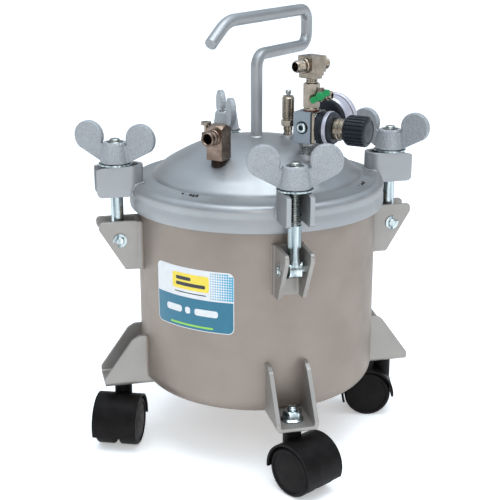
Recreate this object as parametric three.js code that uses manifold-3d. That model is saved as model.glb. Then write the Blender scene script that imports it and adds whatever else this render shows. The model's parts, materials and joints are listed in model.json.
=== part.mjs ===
// Resin pressure pot: a lidded tank on four casters, closed by four swing-bolt clamps.
// Millimetres, +Z up. The origin is on the floor, under the centre of the tank.
import * as THREE from 'three';
import { mergeVertices } from 'three/addons/utils/BufferGeometryUtils.js';
import Module from 'manifold-3d';

const wasm = await Module();
wasm.setup();

// ---------------------------------------------------------------- driving dimensions
const GAP = 0.3; // running or seating clearance between neighbouring pieces
const PIN_GAP = 0.4; // clearance of each hole round its pin
const STEM_GAP = 0.5; // clearance of each hole round a turning stem or axle
const DEG = Math.PI / 180;

const TANK = { radius: 122, wall: 2.5, base: 62, corner: 18, flareZ: 250, flare: 4, rimZ: 262 };
const RIM = { inner: 116.5, outer: 124.5 };
const LID = { radius: 130, skirt: 4.4, skirtZ: 249.5, seatZ: 267.6, apex: 316, wall: 4 };
const GASKET = { inner: 114, outer: 123.8 };
const CLAMP = { radius: 144, pivotZ: 219.4, seatZ: 294.3, boltTopZ: 320.5, boltRadius: 6.4, pinRadius: 4 };
const BOLT_EYE = { radius: 8.4, half: 7.3 };
const CLIP = { radius: 7, thickness: 1.2, pinEnd: 2.8 };
const EAR = { inner: 117, outer: 164.5, bottom: 263.5, width: 26.5, thickness: 4.5, corner: 5 };
const CLEVIS = { outer: 164.5, top: 238.8, bottom: 188.3, foot: 139, width: 28, flange: 4, web: 5 };
const WASHER = { rim: 17 };
const NUT = { seatZ: 296.6, height: 21, baseRadius: 15.3, topRadius: 11.9, blade: 6.6 };
const LOBE = { radius: 15.5, reach: 28.5, rise: 4, from: -48, to: 205 };
const FOOT = { outer: 164.5, halfWidth: 20.7, base: 64, plate: 4, toe: 9, gussetTop: 118 };
const STEM = { bottom: 48.6, rise: 14, flangeRadius: 11, flangeHeight: 3, nutAcross: 17, nutTop: 10.5 };
const CASTER = { wheelRadius: 25, trail: 17, halfWidth: 23, neckRadius: 9, stemRadius: 5, web: 5 };
const HOOD = { gap: 1.2, wall: 2.4, from: -20, to: 185 };
const WHEEL = { clearance: 0.8, discStep: 7, discDepth: 1.5, axleRadius: 3 };
const HANDLE = { rod: 5.9, azimuth: 45, foot: 303, lowZ: 398, highZ: 435.8, right: 103, left: -54, bend: 13 };
const HOOK = { reach: 29.5, drop: 19.5 };
const OUTLET = { radius: 73.5, azimuth: 226.5, size: 17, base: 306.4, top: 340, shoulder: 4, nozzleZ: 329 };
const NOZZLE = { collarRadius: 7.6, collar: 3, radius: 6.9, reach: 21.3, bore: 4.6 };
const BLEED = { offset: 14, seatZ: 331, stemRadius: 2, discRadius: 5.2, discZ: 338.4, discHeight: 3 };
const TUBE = { inner: 4.2, outer: 6, bottom: 78, top: 289.7 };
const REGULATOR = { x: 36.9, y: -54.9, z: 335, azimuth: -43, halfX: 9.5, halfY: 11, halfZ: 15.5 };
const BONNET = { start: 14.6, end: 31, radius: 16.2, ringStart: 22.7, ringEnd: 26.6, ringRadius: 16.5 };
const KNOB = { start: 42.7, end: 65.3, ribs: 24, root: 13.8, tip: 14.6 };
const GAUGE = { back: 40, front: 64, caseRadius: 23.6, bezelRadius: 25.2, dialRadius: 21.8, recess: 4.5 };
const NEEDLE = { zero: -135, length: 18.5, tail: 6, hubRadius: 2.6 };
const RISER = { offset: 4.5, across: 14, radius: 7.4, neckRadius: 5.5, base: 350.8, top: 377.7 };
const TEE = { azimuth: 29, base: 382, collarTop: 388, top: 403.5, runZ: 394.5, left: 23, right: 20 };
const VALVE = { z: 366.6, start: 8.6, across: 13, radius: 5.4, end: 22, leverX: 14.4, leverTurn: -30 };
const LEVER = { wing: 7.8, endRadius: 3.2, waist: 2.4, near: 9.4, far: 12.6 };
const SAFETY = { x: 32.3, y: -3, across: 12.8, radius: 6.3, hexZ: 326, bodyZ: 332.5, top: 356.5 };

// Radii of the pieces that pass through the lid.
const NIPPLE = { outlet: 6.5, regulator: 7, safety: 4.8 };

// Clamp stations: azimuth of the station, turn of its wing nut and trail direction of its caster.
const STATIONS = [
  { name: 'front', azimuth: -90, nutTurn: -10, trail: -60 },
  { name: 'right', azimuth: 0, nutTurn: -47, trail: 166 },
  { name: 'back', azimuth: 90, nutTurn: 89, trail: 60 },
  { name: 'left', azimuth: 180, nutTurn: -35, trail: -112 },
];

// ---------------------------------------------------------------- finishes
function finish(color, roughness, metalness) {
  return new THREE.MeshStandardMaterial({ color, roughness, metalness });
}
const tankPaint = finish(0xa59e96, 0.5, 0.4);
const lidPaint = finish(0xaab4be, 0.45, 0.4);
const castMetal = finish(0xafafb4, 0.7, 0.5);
const zinc = finish(0xc8c8c4, 0.3, 0.9);
const nickel = finish(0xb5a593, 0.28, 0.95);
const blackPlastic = finish(0x15171a, 0.45, 0);
const greenPlastic = finish(0x1f8a4c, 0.4, 0);
const rubber = finish(0x2a2a2a, 0.85, 0);

// ---------------------------------------------------------------- solids
function signedVolume(position, index) {
  const a = new THREE.Vector3();
  const b = new THREE.Vector3();
  const c = new THREE.Vector3();
  let volume = 0;
  for (let i = 0; i < index.length; i += 3) {
    a.fromArray(position, 3 * index[i]);
    b.fromArray(position, 3 * index[i + 1]);
    c.fromArray(position, 3 * index[i + 2]);
    volume += a.dot(b.cross(c)) / 6;
  }
  return volume;
}

// A closed solid from a three.js geometry: vertices merged, slivers dropped, faces outward.
function solid(geometry) {
  const bare = geometry.clone();
  bare.deleteAttribute('normal');
  bare.deleteAttribute('uv');
  const merged = mergeVertices(bare, 1e-3);
  const position = merged.attributes.position.array;
  const faces = [];
  const source = merged.index.array;
  for (let i = 0; i < source.length; i += 3) {
    const [a, b, c] = [source[i], source[i + 1], source[i + 2]];
    if (a !== b && b !== c && c !== a) faces.push(a, b, c);
  }
  if (signedVolume(position, faces) < 0) faces.reverse();
  const triVerts = Uint32Array.from(faces);
  const vertProperties = Float32Array.from(position);
  return new wasm.Manifold(new wasm.Mesh({ numProp: 3, vertProperties, triVerts }));
}

function join(first, ...others) {
  return others.reduce((sum, next) => sum.add(next), first);
}

function cut(first, ...others) {
  return others.reduce((rest, next) => rest.subtract(next), first);
}

function mesh(name, body, material) {
  const { vertProperties, triVerts } = body.getMesh();
  const geometry = new THREE.BufferGeometry();
  geometry.setAttribute('position', new THREE.BufferAttribute(vertProperties, 3));
  geometry.setIndex(new THREE.BufferAttribute(triVerts, 1));
  const piece = new THREE.Mesh(geometry, material);
  piece.name = name;
  return piece;
}

// A solid of revolution about Z from [radius, z] points that start and end on the axis or close.
function turned(points, segments = 40) {
  const profile = points.map(([radius, z]) => new THREE.Vector2(radius, z));
  return solid(new THREE.LatheGeometry(profile, segments).rotateX(Math.PI / 2));
}

// An upright cylinder from z0 to z1 about (x, y).
function post(radius, z0, z1, x = 0, y = 0, segments = 16) {
  const geometry = new THREE.CylinderGeometry(radius, radius, z1 - z0, segments);
  return solid(geometry.rotateX(Math.PI / 2).translate(x, y, (z0 + z1) / 2));
}

// A cylinder along X from x0 to x1 at height z.
function barrelX(radius, x0, x1, z = 0, y = 0, segments = 16) {
  const geometry = new THREE.CylinderGeometry(radius, radius, x1 - x0, segments);
  return solid(geometry.rotateZ(Math.PI / 2).translate((x0 + x1) / 2, y, z));
}

// A cylinder along Y from y0 to y1 at (x, z).
function barrelY(radius, y0, y1, x = 0, z = 0, segments = 16) {
  const geometry = new THREE.CylinderGeometry(radius, radius, y1 - y0, segments);
  return solid(geometry.translate(x, (y0 + y1) / 2, z));
}

function block(x0, x1, y0, y1, z0, z1) {
  const geometry = new THREE.BoxGeometry(x1 - x0, y1 - y0, z1 - z0);
  return solid(geometry.translate((x0 + x1) / 2, (y0 + y1) / 2, (z0 + z1) / 2));
}

// A plate whose outline lies in X-Z, spanning y0 to y1.
function sidePlate(shape, y0, y1, curveSegments = 6) {
  const options = { depth: y1 - y0, bevelEnabled: false, curveSegments };
  return solid(new THREE.ExtrudeGeometry(shape, options).rotateX(Math.PI / 2).translate(0, y1, 0));
}

// A plate whose outline lies in X-Y, spanning z0 to z1.
function flatPlate(shape, z0, z1, curveSegments = 8) {
  const options = { depth: z1 - z0, bevelEnabled: false, curveSegments };
  return solid(new THREE.ExtrudeGeometry(shape, options).translate(0, 0, z0));
}

function hexagon(acrossFlats) {
  const shape = new THREE.Shape();
  const corner = acrossFlats / 2 / Math.cos(30 * DEG);
  for (let k = 0; k < 6; k += 1) {
    const angle = (60 * k + 30) * DEG;
    shape[k ? 'lineTo' : 'moveTo'](corner * Math.cos(angle), corner * Math.sin(angle));
  }
  shape.closePath();
  return shape;
}

function polygon(points) {
  const shape = new THREE.Shape();
  points.forEach(([x, y], i) => shape[i ? 'lineTo' : 'moveTo'](x, y));
  shape.closePath();
  return shape;
}

// Points of a circular arc in a turned profile.
function arc(cx, cz, radius, from, to, steps) {
  const points = [];
  for (let k = 0; k <= steps; k += 1) {
    const angle = (from + ((to - from) * k) / steps) * DEG;
    points.push([cx + radius * Math.cos(angle), cz + radius * Math.sin(angle)]);
  }
  return points;
}

function groupAt(azimuth, ...children) {
  const group = new THREE.Group();
  group.rotation.z = azimuth * DEG;
  group.add(...children);
  return group;
}

// ---------------------------------------------------------------- tank
function tankBody() {
  const { radius, wall, base, corner, flareZ, flare, rimZ } = TANK;
  const flat = radius - corner;
  const outside = [
    [0, base],
    ...arc(flat, base + corner, corner, -90, 0, 4),
    [radius, flareZ],
    [RIM.outer, flareZ + flare],
    [RIM.outer, rimZ],
  ];
  const inside = [
    [RIM.inner, rimZ],
    [RIM.inner, flareZ + flare],
    [radius - wall, flareZ],
    ...arc(flat, base + corner, corner - wall, 0, -90, 4),
    [0, base + wall],
  ];
  return turned([...outside, ...inside]);
}

// The tank's outer shape grown by the seating gap, for cutting what is welded to it.
function tankClearance() {
  const { radius, base, corner, rimZ } = TANK;
  const rounding = arc(radius - corner, base + corner, corner + GAP, -90, 0, 4);
  return turned([[0, base - GAP], ...rounding, [radius + GAP, rimZ], [0, rimZ]]);
}

// ---------------------------------------------------------------- lid
// Outer profile of the dome and rim from the apex to the bottom of the skirt.
function lidOutside(steps, grow = 0) {
  const dome = new THREE.SplineCurve([
    new THREE.Vector2(0, LID.apex),
    new THREE.Vector2(30, LID.apex - 1.8),
    new THREE.Vector2(60, 308),
    new THREE.Vector2(90, 293.2),
    new THREE.Vector2(105, 281.6),
  ]);
  const points = dome.getPoints(steps).map((p) => [Math.max(p.x, 0), p.y + grow]);
  const rim = [
    [110, 278.2 + grow],
    [122.5, 275.2 + grow],
    ...arc(LID.radius - 7, 268.2, 7 + grow, 70, 0, 3),
    [LID.radius + grow, LID.skirtZ - grow],
  ];
  return [...points, ...rim];
}

function lidShell(holes) {
  const outside = lidOutside(6);
  const innerSkirt = LID.radius - LID.skirt;
  const dome = lidOutside(4).filter(([radius]) => radius <= 105.1).reverse();
  const inside = [
    [innerSkirt, LID.skirtZ],
    [innerSkirt, LID.seatZ],
    [112, LID.seatZ],
    [108, LID.seatZ + 4],
    ...dome.map(([radius, z]) => [Math.max(radius - 1.5, 0), z - LID.wall]),
  ];
  inside[inside.length - 1][0] = 0;
  return cut(turned([...outside, ...inside]), ...holes);
}

function lidClearance() {
  return turned([...lidOutside(6, GAP), [0, LID.skirtZ - GAP]]);
}

function gasket() {
  const [z0, z1] = [TANK.rimZ + GAP, LID.seatZ - GAP];
  const { inner, outer } = GASKET;
  return turned([[inner, z0], [outer, z0], [outer, z1], [inner, z1], [inner, z0]], 32);
}

// Bent strap, open outward, that carries one wing nut; its top falls away along the bolt's swing.
function lidEar(lid) {
  const { inner, outer, bottom, width, thickness, corner } = EAR;
  const strap = (half) => {
    const shape = new THREE.Shape();
    const centre = inner + width / 2;
    shape.moveTo(outer + 1, -half);
    shape.lineTo(outer + 1, half);
    shape.lineTo(centre, half);
    shape.absarc(centre, 0, half, 90 * DEG, 270 * DEG, false);
    shape.closePath();
    return shape;
  };
  const side = new THREE.Shape();
  const reach = CLAMP.seatZ - CLAMP.pivotZ;
  const stop = Math.acos((outer - CLAMP.radius) / reach);
  side.moveTo(inner - 5, bottom);
  side.lineTo(outer - corner, bottom);
  side.lineTo(outer, bottom + corner);
  side.lineTo(outer, CLAMP.pivotZ + reach * Math.sin(stop));
  side.absarc(CLAMP.radius, CLAMP.pivotZ, reach, stop, 90 * DEG, false);
  side.lineTo(inner - 5, CLAMP.seatZ);
  side.closePath();
  const band = sidePlate(side, -width, width, 4);
  const outerStrap = flatPlate(strap(width / 2), bottom - 1, CLAMP.seatZ + 1);
  const slot = flatPlate(strap(width / 2 - thickness), bottom - 2, CLAMP.seatZ + 2);
  return cut(band.intersect(outerStrap), slot, lid);
}

function handle() {
  const { foot, lowZ, highZ, right, left, bend, rod } = HANDLE;
  const tip = [left - HOOK.reach, highZ - HOOK.drop];
  const corners = [[0, foot], [0, lowZ], [right, lowZ], [right, highZ], [left, highZ], tip];
  const points = corners.map(([u, z]) => new THREE.Vector3(u, 0, z));
  const path = new THREE.CurvePath();
  let from = points[0];
  for (let k = 1; k < points.length - 1; k += 1) {
    const before = points[k].clone().lerp(points[k - 1], bend / points[k].distanceTo(points[k - 1]));
    const after = points[k].clone().lerp(points[k + 1], bend / points[k].distanceTo(points[k + 1]));
    path.add(new THREE.LineCurve3(from, before));
    path.add(new THREE.QuadraticBezierCurve3(before, points[k], after));
    from = after;
  }
  path.add(new THREE.LineCurve3(from, points[points.length - 1]));
  const section = new THREE.Shape().absarc(0, 0, rod, 0, 2 * Math.PI, false);
  const options = { steps: 34, extrudePath: path, curveSegments: 5, bevelEnabled: false };
  return solid(new THREE.ExtrudeGeometry(section, options));
}

// ---------------------------------------------------------------- clamps
function clevis(tank) {
  const { outer, top, bottom, foot, width, flange, web } = CLEVIS;
  const side = new THREE.Shape();
  side.moveTo(TANK.radius - 4, bottom);
  side.lineTo(foot, bottom);
  side.lineTo(outer, top - 8);
  side.quadraticCurveTo(outer, top, outer - 4, top);
  side.lineTo(TANK.radius - 4, top);
  side.closePath();
  const half = width / 2;
  const cheek = sidePlate(side, -half, half);
  const opening = block(TANK.radius + web, outer + 5, flange - half, half - flange, bottom - 5, top + 5);
  const bore = barrelY(CLAMP.pinRadius + PIN_GAP, -half - 1, half + 1, CLAMP.radius, CLAMP.pivotZ, 12);
  return cut(cheek, opening, tank, bore);
}

function pivotPin() {
  const half = CLEVIS.width / 2;
  const end = half + CLIP.pinEnd;
  const shank = barrelY(CLAMP.pinRadius, -end, end, 0, 0, 12);
  const clip = (y) => barrelY(CLIP.radius, y, y + CLIP.thickness, 0, 0, 12);
  return join(shank, clip(half + GAP), clip(-half - GAP - CLIP.thickness));
}

function swingBolt() {
  const { boltRadius, pinRadius, boltTopZ, pivotZ } = CLAMP;
  const length = boltTopZ - pivotZ;
  const foot = BOLT_EYE.radius / 2;
  const tip = [[boltRadius, length - 1.5], [boltRadius - 1.5, length], [0, length]];
  const shank = turned([[0, foot], [boltRadius, foot], ...tip], 16);
  const eye = barrelY(BOLT_EYE.radius, -BOLT_EYE.half, BOLT_EYE.half, 0, 0, 16);
  return cut(join(shank, eye), barrelY(pinRadius + PIN_GAP, -10, 10, 0, 0, 12));
}

function clampWasher() {
  const [hole, rim] = [CLAMP.boltRadius + GAP, WASHER.rim];
  const [z0, z1] = [CLAMP.seatZ + GAP, NUT.seatZ - GAP];
  return turned([[hole, z0], [rim, z0], [rim, z1], [hole, z1], [hole, z0]], 18);
}

// Cast wing nut standing on z = 0: a tapered hub with two rounded blades along X.
function wingNut() {
  const { height, baseRadius, topRadius, blade } = NUT;
  const { radius, reach, rise, from, to } = LOBE;
  const foot = [[0, 0], [baseRadius, 0], [baseRadius - 0.5, 2]];
  const hub = turned([...foot, [topRadius, height - 1], [topRadius - 1, height], [0, height]], 16);
  const lobeZ = height + rise;
  const [startX, startZ] = arc(reach, lobeZ, radius, from, from, 1)[0];
  const shape = new THREE.Shape();
  shape.moveTo(0, 0.6);
  shape.lineTo(baseRadius, 0.6);
  shape.lineTo(startX, startZ);
  shape.absarc(reach, lobeZ, radius, from * DEG, to * DEG, false);
  shape.lineTo(topRadius - 2, height - 5);
  shape.lineTo(0, height - 5);
  shape.closePath();
  const right = sidePlate(shape, -blade / 2, blade / 2, 6);
  const left = right.rotate([0, 0, 180]);
  return cut(join(hub, right, left), post(CLAMP.boltRadius + GAP, -5, height + 30, 0, 0, 16));
}

// ---------------------------------------------------------------- feet
function footBracket(tank) {
  const { outer, halfWidth, base, plate, toe, gussetTop } = FOOT;
  const side = new THREE.Shape();
  side.moveTo(TANK.radius - 12, base);
  side.lineTo(outer, base);
  side.lineTo(outer, base + toe);
  side.lineTo(TANK.radius + 14, gussetTop - 6);
  side.quadraticCurveTo(TANK.radius + 9, gussetTop, TANK.radius + 3, gussetTop);
  side.lineTo(TANK.radius - 12, gussetTop);
  side.closePath();
  const outerBlock = sidePlate(side, -halfWidth, halfWidth, 4);
  const inset = halfWidth - plate;
  const room = block(TANK.radius - 20, outer + 5, -inset, inset, base + plate, gussetTop + 5);
  const hole = post(CASTER.stemRadius + GAP, base - 5, base + plate + 5, CLAMP.radius);
  return cut(outerBlock, room, tank, hole);
}

// Threaded stem with its flange nut, standing on the bracket's plate.
function casterStem() {
  const top = FOOT.base + FOOT.plate;
  const { bottom, rise, flangeRadius, flangeHeight, nutAcross, nutTop } = STEM;
  const nut = flatPlate(hexagon(nutAcross), top + flangeHeight - 0.4, top + nutTop);
  const flange = post(flangeRadius, top + GAP, top + flangeHeight, 0, 0, 14);
  return join(post(CASTER.stemRadius, bottom, top + rise, 0, 0, 12), flange, nut);
}

// Hood over twin wheels; the stem axis is x = 0 and the wheels trail along +X.
function casterHood() {
  const { wheelRadius, trail, halfWidth, neckRadius, stemRadius, web } = CASTER;
  const inner = wheelRadius + HOOD.gap;
  const outer = inner + HOOD.wall;
  const [from, to] = [HOOD.from * DEG, HOOD.to * DEG];
  const hood = new THREE.Shape();
  hood.absarc(trail, wheelRadius, outer, from, to, false);
  hood.absarc(trail, wheelRadius, inner, to, from, true);
  hood.closePath();
  const shell = sidePlate(hood, -halfWidth, halfWidth, 6);
  const cheek = new THREE.Shape();
  cheek.absarc(trail, wheelRadius, inner + 1, -15 * DEG, 180 * DEG, false);
  cheek.absarc(trail, wheelRadius, 7, 180 * DEG, 345 * DEG, false);
  cheek.closePath();
  const middle = sidePlate(cheek, -web / 2, web / 2, 5);
  const neck = post(neckRadius, wheelRadius + 14, FOOT.base - GAP, 0, 0, 12);
  const wheelRoom = barrelY(inner, -halfWidth - 1, halfWidth + 1, trail, wheelRadius, 16);
  const socket = post(stemRadius + STEM_GAP, STEM.bottom - GAP, FOOT.base + 5, 0, 0, 12);
  const axleHole = barrelY(WHEEL.axleRadius + STEM_GAP, -10, 10, trail, wheelRadius, 10);
  return cut(join(shell, cut(neck, wheelRoom), middle), socket, axleHole);
}

// Twin wheels on one axle along Y.
function casterWheels() {
  const { wheelRadius, halfWidth, web } = CASTER;
  const { clearance, discStep, discDepth, axleRadius } = WHEEL;
  const outer = halfWidth - 1;
  const tread = barrelY(wheelRadius, web / 2 + clearance, outer, 0, 0, 20);
  const dish = barrelY(wheelRadius - discStep, outer - discDepth, outer + 1, 0, 0, 12);
  const near = cut(tread, dish);
  return join(barrelY(axleRadius, -outer + 4, outer - 4, 0, 0, 10), near, near.rotate([0, 0, 180]));
}

// ---------------------------------------------------------------- outlet
// Square outlet block with a turned top on a nipple, its nozzle outward, and the bleed screw's boss.
function outletBlock() {
  const { radius, size, base, top, shoulder, nozzleZ } = OUTLET;
  const half = size / 2;
  const corner = half * Math.SQRT2;
  const crown = turned([
    [0, base], [corner + 0.5, base], [corner + 0.5, top - shoulder], [corner - shoulder, top], [0, top],
  ], 28).translate([radius, 0, 0]);
  const body = block(radius - half, radius + half, -half, half, base, top).intersect(crown);
  const nipple = post(NIPPLE.outlet, 290, base + 1, radius, 0);
  const face = radius + half;
  const collar = barrelX(NOZZLE.collarRadius, face - 1, face + NOZZLE.collar, nozzleZ);
  const nozzle = barrelX(NOZZLE.radius, face, radius + NOZZLE.reach, nozzleZ);
  const boss = post(BLEED.stemRadius + 2.6, nozzleZ - 8, BLEED.seatZ, radius, -BLEED.offset, 14);
  const arm = block(radius - 3, radius + 3, -BLEED.offset, -half + 1, nozzleZ - 6, nozzleZ);
  const bore = barrelX(NOZZLE.bore, face + 2, radius + NOZZLE.reach + 5, nozzleZ);
  return cut(join(body, nipple, collar, nozzle, boss, arm), bore);
}

function bleedScrew() {
  const { seatZ, stemRadius, discRadius, discZ, discHeight } = BLEED;
  const disc = post(discRadius, discZ, discZ + discHeight, 0, 0, 20);
  return join(post(stemRadius, seatZ + GAP, discZ + 1, 0, 0, 12), disc);
}

function fluidTube() {
  const { inner, outer, bottom, top } = TUBE;
  return turned([[inner, bottom], [outer, bottom], [outer, top], [inner, top], [inner, bottom]], 16);
}

// ---------------------------------------------------------------- safety valve
function safetyBody() {
  const { across, radius, hexZ, bodyZ, top } = SAFETY;
  const hex = flatPlate(hexagon(across), hexZ, bodyZ);
  const crown = [[radius, top - 1.5], [radius - 1.3, top], [0, top]];
  const barrel = turned([[0, bodyZ - 1], [radius, bodyZ - 1], ...crown], 16);
  const well = post(2 + GAP, top - 12, top + 5, 0, 0, 16);
  return cut(join(post(NIPPLE.safety, 303, hexZ + 1), hex, barrel), well);
}

function safetyStem() {
  const { top } = SAFETY;
  return join(post(2, top - 11.4, top + 4, 0, 0, 16), post(3, top + 2, top + 5.6, 0, 0, 16));
}

// ---------------------------------------------------------------- regulator, seen along its own X
function regulatorBody() {
  const { z, halfX, halfY, halfZ } = REGULATOR;
  const cube = block(-halfX, halfX, -halfY, halfY, z - halfZ, z + halfZ);
  const flange = block(halfX - 0.5, BONNET.start - GAP, -12.5, 12.5, z - 15.5, z + 15.5);
  const plug = barrelY(5, -halfY - 2.4, -halfY + 1, 0, z, 20);
  const socket = barrelY(2.4, -halfY - 4, -halfY - 0.6, 0, z, 6);
  return cut(join(cube, flange, plug, post(NIPPLE.regulator, 297, z - halfZ + 0.5)), socket);
}

// Bonnet with a groove for its ring.
function bonnet() {
  const { start, end, radius, ringStart, ringEnd } = BONNET;
  const front = [[0, start], [radius, start], [radius, ringStart - GAP]];
  const groove = [[13, ringStart - GAP], [13, ringEnd + GAP]];
  const nose = [[15.8, ringEnd + GAP], [15.8, end - 1.2], [14.6, end], [0, end]];
  return turned([...front, ...groove, ...nose], 22);
}

function bonnetRing() {
  const { ringStart, ringEnd, ringRadius } = BONNET;
  const [hole, rim] = [13 + GAP, ringRadius];
  const front = [[hole, ringStart], [rim, ringStart]];
  return turned([...front, [rim, ringEnd], [hole, ringEnd], [hole, ringStart]], 22);
}

function regulatorNeck() {
  const start = BONNET.end + GAP;
  const end = KNOB.start - GAP;
  return turned([[0, start], [10.5, start], [10.5, 36], [9.6, 36.6], [9.6, end], [0, end]], 18);
}

// Knob with grip ribs all round.
function knob() {
  const { start, end, ribs, root, tip } = KNOB;
  const outline = new THREE.Shape();
  for (let k = 0; k < 2 * ribs; k += 1) {
    const radius = k % 2 ? root : tip;
    const angle = (k * Math.PI) / ribs;
    outline[k ? 'lineTo' : 'moveTo'](radius * Math.cos(angle), radius * Math.sin(angle));
  }
  outline.closePath();
  const core = root - 0.5;
  const near = [[0, start], [core - 0.5, start], [core, start + 2]];
  const far = [[core, end - 2], [core - 0.7, end], [0, end]];
  return join(flatPlate(outline, start + 1.5, end - 1.2), turned([...near, ...far], 18));
}

// Gauge turned about Z, its back towards 0 and its open dial at the far end.
function gaugeCase() {
  const { back, front, caseRadius, bezelRadius, dialRadius, recess } = GAUGE;
  const stem = turned([[0, 11.3], [5, 11.3], [5, back + 1], [0, back + 1]], 20);
  const hex = flatPlate(hexagon(14), back - 10, back - 1);
  const shell = turned([
    [0, back], [caseRadius - 3, back], [caseRadius, back + 2], [caseRadius, front - 5],
    [bezelRadius, front - 5], [bezelRadius, front],
    [dialRadius, front], [dialRadius, front - recess], [0, front - recess],
  ], 26);
  return join(stem, hex, shell);
}

function gaugeNeedle() {
  const level = GAUGE.front - GAUGE.recess + 1;
  const { length, tail, hubRadius } = NEEDLE;
  const pointer = polygon([[-1.1, -tail], [1.1, -tail], [0.4, length], [-0.4, length]]);
  const hub = post(hubRadius, level - 0.4, level + 1.4, 0, 0, 16);
  return join(flatPlate(pointer, level, level + 0.8), hub);
}

// ---------------------------------------------------------------- riser, tee and ball valve
// Hexagonal coupling on a round foot, with a neck up to the tee.
function riser() {
  const { across, radius, neckRadius, base, top } = RISER;
  const foot = turned([[0, base], [radius, base], [radius, base + 3], [0, base + 3]], 24);
  const coupling = flatPlate(hexagon(across), base + 2.5, top);
  const neck = post(neckRadius, top - 1, TEE.base - GAP, 0, 0, 20);
  return join(foot, coupling, neck);
}

// Tee with its run along X; both ends are male threads with open bores.
function inletTee() {
  const { base, collarTop, top, runZ, left, right } = TEE;
  const body = block(-9.5, 9.5, -10, 10, collarTop - 1, top);
  const collar = block(-8, 6.5, -9.5, 9.5, base, collarTop);
  const flanges = join(barrelX(7.4, -12.5, -9, runZ), barrelX(7, 9, 11.5, runZ));
  const threads = join(barrelX(5.9, -left, -9, runZ), barrelX(6.2, 9, right, runZ));
  const bores = join(barrelX(4, -left - 2, -14, runZ, 0, 16), barrelX(4, 12, right + 4, runZ, 0, 16));
  return cut(join(body, collar, flanges, threads), bores);
}

// Small ball valve along X, its stem towards -Y.
function ballValve() {
  const { start, across, radius, end, leverX } = VALVE;
  const neck = barrelX(4, RISER.across / 2 + GAP, start + 1, 0);
  const hex = new THREE.ExtrudeGeometry(hexagon(across), { depth: 3.6, bevelEnabled: false });
  const nut = solid(hex.rotateY(Math.PI / 2).translate(start, 0, 0));
  const body = barrelX(radius, start + 3, end - 3.5, 0);
  const tip = barrelX(radius - 1.2, end - 4, end, 0);
  const gland = barrelY(3.4, -LEVER.near + 1.2, -3, leverX, 0, 16);
  const bore = barrelX(2.6, end - 7, end + 5, 0, 0, 16);
  return cut(join(neck, nut, body, tip, gland), bore);
}

// Butterfly lever in the X-Z plane, turning about Y.
function valveLever() {
  const { wing, endRadius, waist, near, far } = LEVER;
  const shape = new THREE.Shape();
  shape.absarc(wing, 0, endRadius, -90 * DEG, 90 * DEG, false);
  shape.lineTo(3, waist);
  shape.lineTo(-3, waist);
  shape.absarc(-wing, 0, endRadius, 90 * DEG, 270 * DEG, false);
  shape.lineTo(-3, -waist);
  shape.lineTo(3, -waist);
  shape.closePath();
  return join(sidePlate(shape, -far, -near, 6), barrelY(4, -far - 0.8, -near + 0.9, 0, 0, 16));
}

// ---------------------------------------------------------------- assembly
const pot = new THREE.Group();
const tankCut = tankClearance();
const lidCut = lidClearance();

const outletSpot = arc(0, 0, OUTLET.radius, OUTLET.azimuth, OUTLET.azimuth, 1)[0];
const lidHoles = [
  post(HANDLE.rod + GAP, 300, 330),
  post(NIPPLE.outlet + GAP, 280, 330, ...outletSpot),
  post(NIPPLE.regulator + GAP, 280, 330, REGULATOR.x, REGULATOR.y),
  post(NIPPLE.safety + GAP, 290, 330, SAFETY.x, SAFETY.y),
];
pot.add(
  mesh('tank_body', tankBody(), tankPaint),
  mesh('lid', lidShell(lidHoles), lidPaint),
  mesh('lid_gasket', gasket(), rubber),
  groupAt(HANDLE.azimuth, mesh('lid_handle', handle(), lidPaint)),
);

for (const { name, azimuth, nutTurn, trail } of STATIONS) {
  const pin = mesh(`pivot_pin_${name}`, pivotPin(), zinc);
  const bolt = mesh(`swing_bolt_${name}`, swingBolt(), zinc);
  for (const piece of [pin, bolt]) piece.position.set(CLAMP.radius, 0, CLAMP.pivotZ);
  const washer = mesh(`clamp_washer_${name}`, clampWasher(), zinc);
  washer.position.x = CLAMP.radius;
  const nut = mesh(`wing_nut_${name}`, wingNut(), castMetal);
  nut.position.set(CLAMP.radius, 0, NUT.seatZ);
  nut.rotation.z = (nutTurn - azimuth) * DEG;
  const stem = mesh(`caster_stem_${name}`, casterStem(), zinc);
  stem.position.x = CLAMP.radius;
  const wheels = mesh(`caster_wheels_${name}`, casterWheels(), blackPlastic);
  wheels.position.set(CASTER.trail, 0, CASTER.wheelRadius);
  const caster = groupAt(trail - azimuth, mesh(`caster_hood_${name}`, casterHood(), blackPlastic), wheels);
  caster.position.x = CLAMP.radius;
  pot.add(groupAt(
    azimuth,
    mesh(`clevis_${name}`, clevis(tankCut), tankPaint),
    mesh(`lid_ear_${name}`, lidEar(lidCut), lidPaint),
    mesh(`foot_bracket_${name}`, footBracket(tankCut), tankPaint),
    pin, bolt, washer, nut, stem, caster,
  ));
}

const bleed = mesh('bleed_screw', bleedScrew(), nickel);
bleed.position.set(OUTLET.radius, -BLEED.offset, 0);
const tube = mesh('fluid_tube', fluidTube(), zinc);
tube.position.x = OUTLET.radius;
pot.add(groupAt(OUTLET.azimuth, mesh('outlet_block', outletBlock(), nickel), bleed, tube));

const safety = new THREE.Group();
safety.position.set(SAFETY.x, SAFETY.y, 0);
safety.add(mesh('safety_valve', safetyBody(), nickel), mesh('safety_pull', safetyStem(), nickel));
pot.add(safety);

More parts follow.
